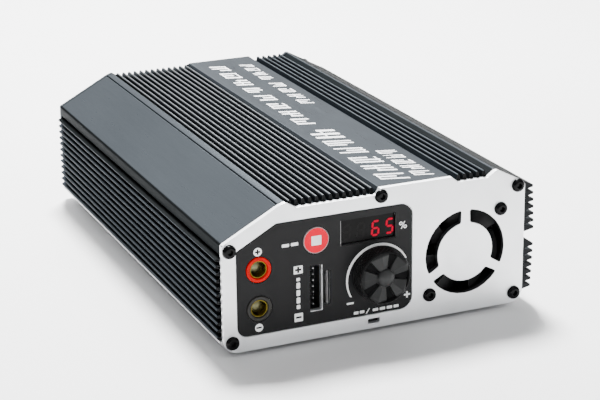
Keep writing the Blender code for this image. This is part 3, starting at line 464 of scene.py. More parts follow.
BLACK_STEEL = grained("black_oxide", (0.0015, 0.0015, 0.0018), 0.15, 0.0, 0.3, 0.01, 0.3,
                      Specular_IOR_Level=0.11)
RING_GREY = grained("pad_printed_ring", (0.42, 0.36, 0.36), 0.5, 0.0, 0.3, 0.004, 0.08)
BORE = grained("bore_floor", (0.17, 0.165, 0.085), 0.42, 0.7, 0.3, 0.01, 0.2)
STEEL = grained("plated_steel", (0.60, 0.60, 0.61), 0.3, 1.0, 0.4, 0.01, 0.1)
KNOB_SKIRT = grained("knob_skirt", (0.004, 0.004, 0.0042), 0.55, 0.0, 0.3, 0.02, 0.3,
                     Specular_IOR_Level=0.16)
KNOB_FACE = grained("knob_face", (0.0125, 0.013, 0.013), 0.46, 0.0, 0.3, 0.006, 0.15,
                    Specular_IOR_Level=0.28)
KNOB_HUB = grained("knob_hub", (0.022, 0.0225, 0.0225), 0.5, 0.0, 0.3, 0.006, 0.15,
                   Specular_IOR_Level=0.22)
# Near-black without gloss, for the knob's gaps: painted shade.
GAP_SHADE_BLACK = grained("painted_shade_black", (0.006, 0.006, 0.0062), 0.7, 0.0, 0.3, 0.006, 0.3,
                     Specular_IOR_Level=0.03)
BLACK = grained("moulded_black", (0.005, 0.005, 0.0055), 0.34, 0.0, 0.5, 0.01, 0.25,
                Specular_IOR_Level=0.4)
RUBBER = grained("rubber", (0.012, 0.012, 0.012), 0.75, 0.0, 0.7, 0.05, 0.25)
SMOKE = grained("smoked_lens", (0.003, 0.0028, 0.0028), 0.3, 0.0, 0.8, 0.002, 0.2,
                Specular_IOR_Level=0.08)
UNLIT = grained("unlit_segment", (0.007, 0.0065, 0.0065), 0.35, 0.0, 0.4, 0.002, 0.1,
                Specular_IOR_Level=0.08)
LIT = glowing("lit_segment", (0.06, 0.0, 0.003), 13.0)
# A light grey for thin strips that stand in for glints along edges: painted highlight.
GLINT_GREY = grained("painted_glint_grey", (0.26, 0.26, 0.26), 0.5, 0.0, 0.3, 0.004, 0.08,
                      Specular_IOR_Level=0.2)
FAN_MOULDING = grained("fan_moulding", (0.016, 0.016, 0.0165), 0.45, 0.0, 0.5, 0.01, 0.2,
                       Specular_IOR_Level=0.3)
# A dark grey for the walls of the fan's slots: painted shade.
SLOT_WALL_SHADE = grained("painted_shade_slot_walls", (0.10, 0.102, 0.105), 0.45, 0.8, 0.4, 0.012, 0.1)
BOARD = grained("solder_mask", (0.015, 0.10, 0.045), 0.4, 0.0, 0.8, 0.02, 0.2)
FERRITE = grained("ferrite", (0.05, 0.05, 0.055), 0.65, 0.0, 0.7, 0.04, 0.2)
WINDING = extruded("winding_tape", (0.72, 0.50, 0.10), 0.45, 0.0, 0.6)
SLEEVE = grained("shrink_sleeve", (0.03, 0.03, 0.06), 0.3, 0.0, 0.8, 0.01, 0.2)


# Housing


# Where the housing's painted highlight and painted shade lie
BRIGHT_FINS_X = (27.9, 65.3)
FIN_EDGE_DEPTH = 0.45
SIDE_BAND_X, SIDE_BAND_Z = 0.9, 39.0
RIDGE_EDGE_X = (26.62, 27.95)
RIGHT_RISE_X = (115.2, 118.25)
RIGHT_SLOPE_X = 119.0
RIGHT_TIPS_X, TIP_WIDTH = 136.2, 1.15
FIN_ROUND = 0.5
HOUSING_SHARP = 40


def plump_tips(loop):
    """Widen the narrow tips of the right-hand fins, so that they can be rounded."""
    moved = []
    count = len(loop)
    for i, (x, z) in enumerate(loop):
        for j in (i - 1, (i + 1) % count):
            other_x, other_z = loop[j]
            gap = z - other_z
            if x > RIGHT_TIPS_X and abs(x - other_x) < 0.3 and 0.05 < abs(gap) < TIP_WIDTH:
                z += (TIP_WIDTH - abs(gap)) / 2 * (1 if gap > 0 else -1)
                break
        moved.append((x, z))
    return moved


def housing_shading(x, z, normal):
    """One coat with lighter and darker copies on some faces of the extrusion: painted highlight on the
    middle top fins' tops, and painted shade on the end faces, the left band, the right slopes and the rises.
    """
    if abs(normal.y) > 0.5:
        return FIN_END_SHADE
    if BRIGHT_FINS_X[0] < x < BRIGHT_FINS_X[1] and z > TOP_Z - FIN_EDGE_DEPTH:
        return FIN_EDGE_HIGHLIGHT
    if x < SIDE_BAND_X and z > SIDE_BAND_Z:
        return LEFT_SIDE_SHADE
    if x > RIGHT_SLOPE_X and normal.x > 0.2 and normal.z > 0.5:
        return RIGHT_SLOPE_SHADE
    if normal.z > 0.3 and any(low < x < high for low, high in (RIDGE_EDGE_X, RIGHT_RISE_X)):
        return RISE_SHADE
    return HOUSING


def make_housing():
    y0, y1 = (corner.y for corner in panel_box("housing"))
    outer, *channels = cad_loops("housing", y0)
    solid = Solid()
    solid.prism([rounded(plump_tips(outer), FIN_ROUND, 30), *channels], y0, y1)
    skin = solid.make("housing_skin", HOUSING, instead=["housing"], slot="housing_coat", sharp=HOUSING_SHARP)
    coat_and_shades = (HOUSING, FIN_EDGE_HIGHLIGHT, LEFT_SIDE_SHADE, RIGHT_SLOPE_SHADE, RISE_SHADE, FIN_END_SHADE)
    for coat_or_shade in coat_and_shades[1:]:
        skin.data.materials.append(coat_or_shade)
    for face in skin.data.polygons:
        x, _, z = panel_centre(skin, face)
        face.material_index = coat_and_shades.index(housing_shading(x, z, face.normal))


def make_tray():
    y0, y1 = (corner.y for corner in panel_box("housing"))
    outer = cad_loops("base_tray", y0)[0]
    solid = Solid()
    solid.prism([rounded(outer, 0.3, 40)], y0, y1, 0.1)
    solid.make("base_tray_skin", TRAY, instead=["base_tray"], slot="tray_metal", sharp=HOUSING_SHARP)


FEET = 4
FOOT_DIMPLE_R = 2.2


def make_feet():
    """Rubber pads with a dimple for the screw, turned about y and then stood up."""
    for i in range(1, FEET + 1):
        low, high = panel_box(f"foot_{i}")
        cx, cy, r = (low.x + high.x) / 2, (low.y + high.y) / 2, (high.x - low.x) / 2
        top, bottom = high.z, low.z
        profile = [(0, bottom + 0.3), (FOOT_DIMPLE_R, bottom + 0.3), (FOOT_DIMPLE_R + 0.3, bottom)]
        profile += [(r - 0.9, bottom), (r - 0.3, bottom + 0.3), (r, bottom + 1.0)]
        profile += [(r, top - 0.1), (0, top - 0.1)]
        solid = Solid()
        solid.turned(profile, (0, 0), 36)
        bmesh.ops.rotate(solid.bm, verts=solid.bm.verts, matrix=Matrix.Rotation(pi / 2, 3, "X"))
        bmesh.ops.translate(solid.bm, vec=(cx, cy, 0), verts=solid.bm.verts)
        solid.make(f"foot_pad_{i}", RUBBER, instead=[f"foot_{i}"], slot="foot_rubber")


# Plates and the overlay


PLATE_SOFT = 0.18
PLATE_ROUND = 0.4
POCKET_Y = 0.8
OVERLAY_T = 0.5
SCREW_HOLE_SPAN = 4.0
SCREW_HOLE_INSET = -0.1
FAN_CENTRE = (104.9, 26.0)
SLOT_REACH, SLOT_ROUND = 19.5, 1.0


def same_hole(a, b):
    (ax, az), (bx, bz) = ([sum(p[k] for p in loop) / len(loop) for k in (0, 1)] for loop in (a, b))
    return hypot(ax - bx, az - bz) < 0.05 and abs(abs(area(a)) - abs(area(b))) < 0.2


def is_screw_hole(loop):
    return all(max(p[k] for p in loop) - min(p[k] for p in loop) < SCREW_HOLE_SPAN for k in (0, 1))


def hole_wall(solid, loop, levels, radius=0.0):
    """A hole's wall. Screw holes lie close to the outline, so they stay sharp and a little tight."""
    if is_screw_hole(loop):
        tight = offset(facing(loop, -1), SCREW_HOLE_INSET)
        return solid.wall(tight, [(levels[0][0], 0.0), (levels[-1][0], 0.0)])
    return solid.wall(facing(rounded(loop, radius, 25, 25) if radius else loop, -1), levels)


def plate_levels(front):
    return near_levels(front, PLATE_SOFT) + near_levels(front + PLATE_T, -PLATE_SOFT)[::-1]


def make_front_plate():
    """A plate with through holes, a pocket for the overlay, and cuts in the pocket's floor."""
    outline, pocket, *through = cad_loops("front_plate", 0.0)
    back = cad_loops("front_plate", PLATE_T)
    cuts = [loop for loop in back[1:] if not any(same_hole(loop, t) for t in through)]
    solid = Solid()
    levels = plate_levels(0.0)
    outer = solid.wall(facing(rounded(outline, PLATE_ROUND), 1), levels)
    holes = [hole_wall(solid, loop, levels, SLOT_ROUND) for loop in through]
    recess = solid.wall(facing(pocket, -1), near_levels(0.0, 0.12) + [(POCKET_Y, 0.0)])
    cut_levels = [(POCKET_Y, 0.0)] + near_levels(PLATE_T, -0.1)[::-1]
    windows = [solid.wall(facing(loop, -1), cut_levels) for loop in cuts]
    solid.cap(outer[0], recess[0], *[ring[0] for ring in holes])
    solid.cap(recess[1], *[ring[0] for ring in windows])
    solid.cap(outer[1], *[ring[1] for ring in holes + windows])
    plate = solid.make("front_plate_skin", PLATE, instead=["front_plate"], slot="plate_metal")
    # The walls of the fan's slots take the dark grey: painted shade.
    plate.data.materials.append(SLOT_WALL_SHADE)
    for face in plate.data.polygons:
        x, _, z = panel_centre(plate, face)
        by_fan = hypot(x - FAN_CENTRE[0], z - FAN_CENTRE[1]) < SLOT_REACH
        if by_fan and abs(face.normal.y) < 0.6:
            face.material_index = 1


def make_overlay():
    solid = Solid()
    solid.prism(cad_loops("front_overlay", 0.0), 0.0, OVERLAY_T, 0.07, 0.0)
    solid.make("overlay_skin", OVERLAY, instead=["front_overlay"], slot="overlay_film")


def make_rear_plate():
    outline, *openings = cad_loops("rear_plate", DEPTH)
    solid = Solid()
    levels = plate_levels(DEPTH - PLATE_T)
    walls = [solid.wall(facing(rounded(outline, PLATE_ROUND), 1), levels)]
    walls += [hole_wall(solid, loop, levels) for loop in openings]
    for side in (0, 1):
        solid.cap(*[wall[side] for wall in walls])
    solid.make("rear_plate_skin", HOUSING, instead=["rear_plate"], slot="housing_coat")


# Screws


# Radii, and heights above the plate's face
SHANK_R = 1.5
HEAD_R, HEAD_EDGE_R = 2.84, 2.72
HEAD_FOOT, HEAD_CORNER, HEAD_SIDE, HEAD_SHOULDER, HEAD_TOP = 0.02, 0.12, 0.32, 0.52, 1.6
DOME_RUN, DOME_RISE = 1.1, 1.06
FLAT_R = 1.45
KEY_R, KEY_MOUTH_R, KEY_TURN = 1.18, 1.27, 0.3
KEY_MOUTH, KEY_THROAT, KEY_FLOOR = 1.58, 1.5, 0.45


def make_screw(name):
    """A button head with a hexagon socket."""
    low, high = panel_box(name)
    centre = ((low.x + high.x) / 2, (low.z + high.z) / 2)
    face, way, tip = (DEPTH, -1, low.y) if name.startswith("rear") else (0.0, 1, high.y)
    solid = Solid()

    def ring(radius, height, count=36, turn=0.0):
        return solid.ring(circle(centre, radius, count, turn), face - way * height)

    profile = [(SHANK_R, HEAD_FOOT), (HEAD_EDGE_R, HEAD_FOOT), (HEAD_R, HEAD_CORNER), (HEAD_R, HEAD_SIDE),
               (HEAD_EDGE_R, HEAD_SHOULDER)]
    for a in (radians(d) for d in (20, 40, 60, 80, 90)):
        profile.append((HEAD_EDGE_R - DOME_RUN * (1 - cos(a)), HEAD_SHOULDER + DOME_RISE * sin(a)))
    profile.append((FLAT_R, HEAD_TOP))
    rings = [solid.ring(circle(centre, SHANK_R, 36), tip)] + [ring(r, height) for r, height in profile]
    for first, second in zip(rings, rings[1:]):
        solid.skin(first, second)
    solid.cap(rings[0])
    mouth = ring(KEY_MOUTH_R, KEY_MOUTH, 6, KEY_TURN)
    throat = ring(KEY_R, KEY_THROAT, 6, KEY_TURN)
    floor = ring(KEY_R, KEY_FLOOR, 6, KEY_TURN)
    solid.cap(rings[-1], mouth)
    solid.skin(mouth, throat)
    solid.skin(throat, floor)
    solid.cap(floor)
    solid.make(name + "_finished", BLACK_STEEL, instead=[name], slot="black_steel")


def make_screws():
    for name in NODES:
        if "_screw_" in name:
            make_screw(name)


# Controls on the panel


STOP_AT = (39.25, 41.25)
KNOB = (65.6, 23.8)
STOP_CAP = [(0, -0.16), (3.0, -0.16), (4.8, -0.15), (5.07, -0.08),
            (5.08, 1.4), (1.8, 1.5), (1.8, 5.6), (0, 5.6)]
STOP_RIM = [(5.1, 1.3), (5.1, -0.12), (5.22, -0.19), (5.34, -0.1), (5.34, 1.3)]


def make_stop_button():
    solid = Solid()
    solid.turned(STOP_CAP, STOP_AT, 48)
    solid.make("stop_cap", RED, "stop_key", ["stop_button"], "button_red")
    solid = Solid()
    solid.turned(STOP_RIM, STOP_AT, 48)
    solid.make("stop_rim", RING_GREY, "stop_key", slot="button_red")
    solid = Solid()
    solid.prism([rounded(rectangle(37.15, 41.35, 39.25, 43.15), 0.25)], -0.2, -0.1)
    solid.make("stop_square", INK, "stop_key", slot="button_red")


# Ends of each segment's centre line, in widths and half heights of a digit
SEGMENTS = {"top": (0, 2, 1, 2), "upper_left": (0, 1, 0, 2), "upper_right": (1, 1, 1, 2),
            "middle": (0, 1, 1, 1), "lower_left": (0, 0, 0, 1), "lower_right": (1, 0, 1, 1),
            "bottom": (0, 0, 1, 0)}
DIGITS = {"": (), "6": ("top", "upper_left", "middle", "lower_left", "lower_right", "bottom"),
          "5": ("top", "upper_left", "middle", "lower_right", "bottom")}
READING = ((51.3, ""), (57.3, ""), (63.75, "6"), (69.9, "5"))
DIGIT_FOOT, DIGIT_HEIGHT, DIGIT_WIDTH, DIGIT_LEAN = 38.95, 5.7, 2.75, 0.09
SEGMENT_HALF, SEGMENT_GAP = 0.43, 0.14
# Depths behind the display's front: the block, and where the segments start and end
BLOCK_BACK, UNLIT_BACK, LIT_BACK, SEGMENT_END = 0.25, 0.2, 0.17, 0.3
# The bevel is a light grey strip: a painted highlight along the window's left edge.
WINDOW_TRIM = (
    ("window_bevel", GLINT_GREY, (49.64, 49.9, 37.05, 47.45), 0.12, 0.06),
    ("window_right_wall", BLACK, (73.6, 73.87, 37.35, 47.45), 0.1, 0.05),
    ("window_sill", KNOB_FACE, (50.0, 73.85, 37.05, 37.3), 0.3, 0.08),
)
TRIM_END = 1.0


def digit_parts(left, lit):
    """Segment outlines of one digit: a hexagon for each, leaning a little to the right."""
    parts = {}
    for name, (u0, v0, u1, v1) in SEGMENTS.items():
        a = Vector((u0 * DIGIT_WIDTH, v0 * DIGIT_HEIGHT / 2))
        b = Vector((u1 * DIGIT_WIDTH, v1 * DIGIT_HEIGHT / 2))
        along = (b - a).normalized()
        across = Vector((-along.y, along.x)) * SEGMENT_HALF
        a, b = a + along * SEGMENT_GAP, b - along * SEGMENT_GAP
        near, far = a + along * SEGMENT_HALF, b - along * SEGMENT_HALF
        shape = [a, near - across, far - across, b, far + across, near + across]
        parts[name] = [(left + p.x + p.y * DIGIT_LEAN, DIGIT_FOOT + p.y) for p in shape]
    return [parts[n] for n in parts if n in lit], [parts[n] for n in parts if n not in lit]


def make_display():
    low, high = panel_box("led_display")
    solid = Solid()
    solid.prism([rounded(rectangle(low.x, high.x, low.z, high.z), 0.2)], low.y + BLOCK_BACK, high.y, 0.1)
    solid.make("display_block", SMOKE, instead=["led_display"], slot="display_black")
    lit, unlit = Solid(), Solid()
    for left, number in READING:
        on, off = digit_parts(left, DIGITS[number])
        for shape in on:
            lit.prism([shape], low.y + LIT_BACK, low.y + SEGMENT_END)
        for shape in off:
            unlit.prism([shape], low.y + UNLIT_BACK, low.y + SEGMENT_END)
    lit.make("lit_segments", LIT, slot="display_black")
    unlit.make("unlit_segments", UNLIT, slot="display_black")
    for name, look, sides, start, soft in WINDOW_TRIM:
        trim = Solid()
        trim.prism([rectangle(*sides)], start, TRIM_END, soft)
        trim.make(name, look, slot="display_black")


def make_knob():
    make_knob_skirt()
    make_knob_face()


def make_knob_skirt():
    """The grip: a smooth foot and staggered rows of lumps."""
    lumps, per_lump, rows, per_row = 36, 6, 5, 4
    lump_height, groove = 0.42, 0.05
    grip_r, first, last = 10.85, -2.3, -7.5
    profile = [(8.6, -0.9), (10.9, -0.9), (11.15, -1.15), (11.15, -1.9), (10.9, -2.15)]
    start = len(profile)
    steps = rows * per_row
    profile += [(grip_r, first + (last - first) * k / steps) for k in range(steps + 1)]
    profile += [(10.7, -7.75), (10.35, -7.9), (10.1, -7.6), (10.1, -6.7), (8.6, -5.4)]

    def wave(i, k):
        row = (i - start) / per_row
        if not 0 < row < rows:
            return 0.0
        swell = abs(sin(pi * row))
        turn = k / per_lump + (0.5 if int(row) % 2 else 0.0)
        return swell * (lump_height * abs(sin(pi * turn)) - groove)

    solid = Solid()
    solid.turned(profile, KNOB, lumps * per_lump, wave)
    solid.make("knob_skirt", KNOB_SKIRT, "knob", ["knob_body"], "knob_black", sharp=70, flat_caps=False)


FACE_BLADES, FACE_PHASE = 5, radians(60)
FACE_BACK, FACE_FRONT, FACE_R, HUB_R = -5.8, -9.0, 10.7, 3.75
GAP_DROP = 2.7
# Shares of a blade's turn and how far each line drops: a gap, then two facets that meet in a ridge
FACETS = ((0.0, GAP_DROP), (0.27, GAP_DROP), (0.31, 1.2), (0.60, 0.0), (0.97, 1.7))
GAP_START, GAP_SHARE, GAP_PARTS, GAP_MARGIN = 0.008, 0.258, 4, 0.05
HUB_TOP, HUB_WIDEST, HUB_FOOT = -9.64, -7.5, -6.4
FACE_SOFT, FACE_SOFT_FROM = 0.09, 28


def facet_line(drop):
    """Radius and depth of a facet line's points, from the back of the face to the hub."""
    radii = (FACE_R, FACE_R, FACE_R - 0.55, FACE_R - 1.1, HUB_R)
    drops = (1.0 + drop * 0.5, 0.35 + drop, 0.08 + drop, drop * 0.3 + 1.1)
    if drop == GAP_DROP:
        drops = (drop,) * len(drops)
    return zip(radii, (FACE_BACK, *[FACE_FRONT + d for d in drops]))


def make_knob_face():
    """Five two-faceted blades round a domed hub, with unreflective black wedges in the gaps between them:
    painted shade.
    """
    solid, gaps = Solid(), Solid()
    bm = solid.bm
    layers = [[], [], [], [], []]
    gap_floor = FACE_FRONT + GAP_DROP
    for blade in range(FACE_BLADES):
        for share, drop in FACETS:
            a = FACE_PHASE + 2 * pi * (blade + share) / FACE_BLADES
            for layer, (r, y) in zip(layers, facet_line(drop)):
                x, z = around(KNOB, r, a)
                layer.append(bm.verts.new((x, y, z)))
        shares = [GAP_START + GAP_SHARE * k / GAP_PARTS for k in range(GAP_PARTS + 1)]
        spread = [FACE_PHASE + 2 * pi * (blade + share) / FACE_BLADES for share in shares]
        wedge = [around(KNOB, FACE_R - GAP_MARGIN, a) for a in spread]
        wedge += [around(KNOB, HUB_R + GAP_MARGIN, a) for a in spread[::-1]]
        gaps.prism([wedge], gap_floor - 0.12, gap_floor - 0.02)
    for near, far in zip(layers, layers[1:]):
        solid.skin(near, far)
    bm.faces.new(layers[-1])
    bm.faces.new(layers[0][::-1])
    bmesh.ops.triangulate(bm, faces=bm.faces[:])
    face = solid.make("knob_face", KNOB_FACE, "knob", ["knob_cap"], "knob_grey", sharp=20, flat_caps=False)
    soften = face.modifiers.new("moulded edges", "BEVEL")
    soften.width = FACE_SOFT * MM
    soften.segments = 2
    soften.limit_method = "ANGLE"
    soften.angle_limit = radians(FACE_SOFT_FROM)
    # The black wedges in the gaps are painted shade.
    gaps.make("knob_shade_wedges", GAP_SHADE_BLACK, "knob", slot="knob_black", flat_caps=False)
    hub = Solid()
    dome = (radians(d) for d in range(0, 91, 10))
    crown = [(HUB_R * sin(a), HUB_WIDEST + (HUB_TOP - HUB_WIDEST) * cos(a)) for a in dome]
    hub.turned([*crown, (HUB_R, HUB_FOOT), (0, HUB_FOOT)], KNOB, 48)
    hub.make("knob_hub", KNOB_HUB, "knob", slot="knob_grey", sharp=60, flat_caps=False)


SOCKETS = (("positive", (15.0, 32.95), SOCKET_RED, "socket_red"),
           ("negative", (15.05, 16.85), SOCKET_BLACK, "socket_black"))
COLLAR = [(3.55, 14.0), (3.55, 0.25), (3.75, -0.2), (4.0, -0.38), (4.85, -0.38), (5.1, -0.25),
          (5.2, 0.05), (5.2, 2.0), (4.9, 2.3), (4.9, 14.0)]
BARREL = [(3.5, 20.0), (3.5, 0.5), (3.42, 0.4), (3.2, 0.4), (3.05, 0.55), (2.3, 2.2), (2.12, 2.6),
          (2.1, 20.0)]
CONTACT = [(0, 5.2), (2.08, 5.2), (2.08, 3.6), (1.5, 3.4), (0.8, 3.2), (0, 3.15)]
SHADE_RING_FRONT, SHADE_RING_END = 0.55, 2.0


def make_sockets():
    for pole, centre, look, colour in SOCKETS:
        solid = Solid()
        solid.turned(COLLAR, centre, 48)
        solid.make(f"collar_{pole}", look, instead=[f"socket_{pole}_bezel"], slot=colour)
        solid = Solid()
        solid.turned(BARREL, centre, 48)
        solid.make(f"barrel_{pole}", BRASS, instead=[f"socket_{pole}_barrel"], slot="brass")
        solid = Solid()
        solid.turned(CONTACT, centre, 32)
        solid.make(f"contact_{pole}", BORE, slot="brass")


def make_shade_rings():
    """Black rings that fill the gaps round the button and the two sockets: painted shade for the dark gaps.
    """
    shade_rings = [("stop", STOP_AT, 5.38, 5.62)]
    shade_rings += [(pole, centre, 5.22, 5.47) for pole, centre, _, _ in SOCKETS]
    for name, centre, inner, outer in shade_rings:
        profile = [(inner, SHADE_RING_END), (inner, SHADE_RING_FRONT), (outer, SHADE_RING_FRONT), (outer, SHADE_RING_END)]
        solid = Solid()
        solid.turned(profile, centre, 48)
        solid.make(f"shade_ring_{name}", RUBBER, slot="black_plastic")


# Printed marks


def plus(centre, r, h):
    """A plus sign that reaches r from its centre, with bars h to each side of their middle."""
    cx, cz = centre
    points = [(r, -h), (r, h), (h, h), (h, r), (-h, r), (-h, h),
              (-r, h), (-r, -h), (-h, -h), (-h, -r), (h, -r), (h, -h)]
    return [(cx + x, cz + z) for x, z in points]


def bar(x0, x1, z, height, lean):
    h = height / 2
    return [(x0 - lean * h, z - h), (x1 - lean * h, z - h), (x1 + lean * h, z + h), (x0 + lean * h, z + h)]


def make_panel_print():
    """Generic marks: polarity signs, the dial's arc and plain dashes."""
    ink = Solid()

    def mark(*loops):
        ink.prism(loops, -0.03, -0.002)

    mark(circle((14.7, 40.3), 1.72), plus((14.7, 40.3), 1.1, 0.34))
    mark(circle((14.7, 9.0), 1.68), rectangle(13.55, 15.85, 8.66, 9.34))
    mark(rounded(rectangle(29.6, 33.4, 28.6, 31.9), 0.2), plus((31.5, 30.25), 1.3, 0.42))
    mark(rounded(rectangle(29.7, 33.3, 8.6, 12.1), 0.2), rectangle(30.3, 32.7, 9.95, 10.75))
    for z0, z1 in ((13.9, 15.6), (16.3, 18.7), (19.4, 21.8), (22.5, 24.9), (25.6, 26.9)):
        mark(rounded(rectangle(30.7, 32.2, z0, z1), 0.3))
    outer = arc((65.89, 21.82), 13.98, 209, 25, 48)
    inner = arc((66.12, 21.36), 13.36, 28, 209, 48)
    mark(outer + inner)
    mark(rectangle(52.25, 55.2, 11.9, 12.7))
    mark(plus((78.84, 11.9), 1.35, 0.36))
    for x0, x1 in ((55.3, 57.3), (57.9, 59.9), (63.6, 66.0), (66.7, 69.1), (69.8, 72.2), (72.9, 75.1)):
        mark(rounded(rectangle(x0, x1, 7.2, 8.4), 0.25))
    mark(bar(61.2, 61.7, 7.8, 2.0, 0.7))
    mark(bar(76.6, 77.0, 41.8, 3.0, 0.5))
    for centre in ((75.85, 42.55), (77.75, 41.05)):
        mark(circle(centre, 0.78, 20), circle(centre, 0.36, 16))
    for x0, x1 in ((24.8, 27.8), (28.6, 31.6)):
        mark(rounded(rectangle(x0, x1, 40.4, 41.7), 0.3))
    ink.make("panel_marks", INK, slot="overlay_film", flat_caps=False)


# Rows of blocks on the housing's raised flat: x from and to, lean, and each block's y from and to
TOP_ROWS = (
    (87.5, 93.5, 0.35, ((123, 131), (133, 141), (144, 152), (155, 163),
                        (169, 176), (178, 185), (187, 193), (195, 200.4))),
    (72.8, 80.5, 0.30, ((92.6, 104), (106, 117), (120, 131), (135, 146),
                        (150, 160), (164, 176), (178, 190), (193, 203.8))),
    (71.8, 83.4, 0.30, ((8, 17), (19.5, 29), (31.5, 41), (46, 55), (57.5, 66.5), (69, 85))),
    (86.3, 94.1, 0.30, ((7.7, 14.5), (16, 22.5), (24, 30.5), (32.5, 37.5), (39, 44.6))),
)
TOP_INK_LOW, TOP_INK_HIGH, BAR_LIFT = TOP_Z + 0.002, TOP_Z + 0.03, 0.002
STROKES, SHORT_STROKE = 3, 0.34
BAR_WIDTH, BAR_PLACES = 0.7, ((0.02,), (0.42,), (0.02, 0.88), (0.88,))


def print_block(ink, x0, x1, y0, y1, lean, turn):
    """Strokes across the flat, long and short by turns, joined by one or two bars."""
    width = x1 - x0
    stroke = (y1 - y0) / STROKES

    def slant(x):
        return width * lean / 2 * (1 - 2 * (x - x0) / width)

    for k in range(STROKES):
        near, far = y0 + stroke * k, y0 + stroke * (k + 0.5)
        short = SHORT_STROKE * width if (k + turn) % 3 == 1 else 0.0
        low, high = (x0 + short, x1) if turn % 2 else (x0, x1 - short)
        loop = [(low, near + slant(low)), (high, near + slant(high)),
                (high, far + slant(high)), (low, far + slant(low))]
        ink.prism([rounded(loop, 0.25)], TOP_INK_LOW, TOP_INK_HIGH, plane="xy")
    for share in BAR_PLACES[turn % 4]:
        x = x0 + share * width
        at = slant(x + BAR_WIDTH / 2)
        loop = rectangle(x, x + BAR_WIDTH, y0 + at + 0.1, y1 + at - stroke * 0.5)
        ink.prism([loop], TOP_INK_LOW + BAR_LIFT, TOP_INK_HIGH + BAR_LIFT, plane="xy")


def make_top_print():
    ink = Solid()
    for x0, x1, lean, spans in TOP_ROWS:
        for turn, (y0, y1) in enumerate(spans):
            print_block(ink, x0, x1, y0, y1, lean, turn)
    ink.make("top_marks", TOP_INK, slot="housing_coat", flat_caps=False)


# Balance port


PINS = 7
PIN_PITCH, PIN_MIDDLE_Z, PIN_BORE = 2.5, 21.1, 0.62
PIN_TIP, PIN_TAPER = 0.45, 0.5
SHROUD_FRONT, SHROUD_FLOOR, SHROUD_BACK = 2.5, 8.4, 9.7
PORT_TRIM_BACK = 2.45


def make_port():
    solid = Solid()
    mouth = rectangle(36.5, 41.75, 11.7, 30.85)
    heights = [PIN_MIDDLE_Z + PIN_PITCH * (k - PINS // 2) for k in range(PINS)]
    holes = [rectangle(38.48, 39.72, z - PIN_BORE, z + PIN_BORE) for z in heights]
    outline = rectangle(35.5, 46.1, 10.7, 31.85)
    outer = solid.wall(facing(outline, 1), [(SHROUD_FRONT, 0.0), (SHROUD_BACK, 0.0)])
    inward = [(SHROUD_FRONT, 0.1), (SHROUD_FRONT + 0.1, 0.0), (SHROUD_FLOOR, 0.0)]
    recess = solid.wall(facing(mouth, -1), inward)
    bores = [solid.wall(facing(hole, -1), [(SHROUD_FLOOR, 0.0), (SHROUD_BACK, 0.0)]) for hole in holes]
    solid.cap(outer[0], recess[0])
    solid.cap(recess[1], *[ring[0] for ring in bores])
    solid.cap(outer[1], *[ring[1] for ring in bores])
    solid.make("header_shroud", BLACK, instead=["balance_header"], slot="black_plastic")
    liner = Solid()
    corner = [(36.52, 11.72), (41.73, 11.72), (41.73, 30.83), (41.5, 30.83), (41.5, 11.95), (36.52, 11.95)]
    liner.prism([corner], 0.1, PORT_TRIM_BACK, 0.04)
    liner.make("port_liner", PLATE, slot="plate_metal")
    # A light grey strip in the slot beside the port: a painted highlight along the slot's edge.
    glint_strip = Solid()
    glint_strip.prism([rectangle(43.85, 44.1, 13.8, 27.85)], 0.3, PORT_TRIM_BACK, 0.05)
    glint_strip.make("port_glint_strip", GLINT_GREY, slot="black_plastic")


def make_pins():
    for i in range(1, PINS + 1):
        low, high = panel_box(f"balance_pin_{i}")
        solid = Solid()
        cx, cz = (low.x + high.x) / 2, (low.z + high.z) / 2
        square = rectangle(low.x, high.x, low.z, high.z)
        tip = [(cx + (x - cx) * PIN_TIP, cz + (z - cz) * PIN_TIP) for x, z in square]
        rings = [solid.ring(tip, low.y), solid.ring(square, low.y + PIN_TAPER), solid.ring(square, high.y)]
        solid.skin(rings[0], rings[1])
        solid.skin(rings[1], rings[2])
        solid.cap(rings[0])
        solid.cap(rings[2])
        solid.make(f"pin_{i}", STEEL, instead=[f"balance_pin_{i}"], slot="bright_steel")


# Fan


FAN_BLADES, FIRST_BLADE = 7, 32.0
SPAN_PARTS, CHORD_PARTS = 6, 6
BLADE_ROOT_R, BLADE_TIP_R = 8.6, 18.25
BLADE_THICK, BLADE_CAMBER, BLADE_START = 0.55, 0.9, 0.7
# At the root and what a tip has more: sweep back in degrees, width in degrees, and depth
SWEEP, WIDTH, PITCH = (0, 5), (40, -4), (5.6, -0.8)


def blade_point(turn, u, v, side, front):
    """A point of a blade, u along its span from the hub and v across its chord."""
    r = BLADE_ROOT_R + (BLADE_TIP_R - BLADE_ROOT_R) * u
    a = radians(turn - (SWEEP[0] + SWEEP[1] * u) + (WIDTH[0] + WIDTH[1] * u) * v)
    depth = (PITCH[0] + PITCH[1] * u) * v - BLADE_CAMBER * sin(pi * v) + side * BLADE_THICK
    x, z = around(FAN_CENTRE, r, a)
    return x, front + BLADE_START + depth, z


def blade_side(solid, turn, side, front):
    """One face of a blade, as rows of vertices from the hub to the tip."""
    rows = []
    for j in range(SPAN_PARTS + 1):
        u = j / SPAN_PARTS
        points = [blade_point(turn, u, k / CHORD_PARTS, side, front) for k in range(CHORD_PARTS + 1)]
        rows.append([solid.bm.verts.new(point) for point in points])
    return rows


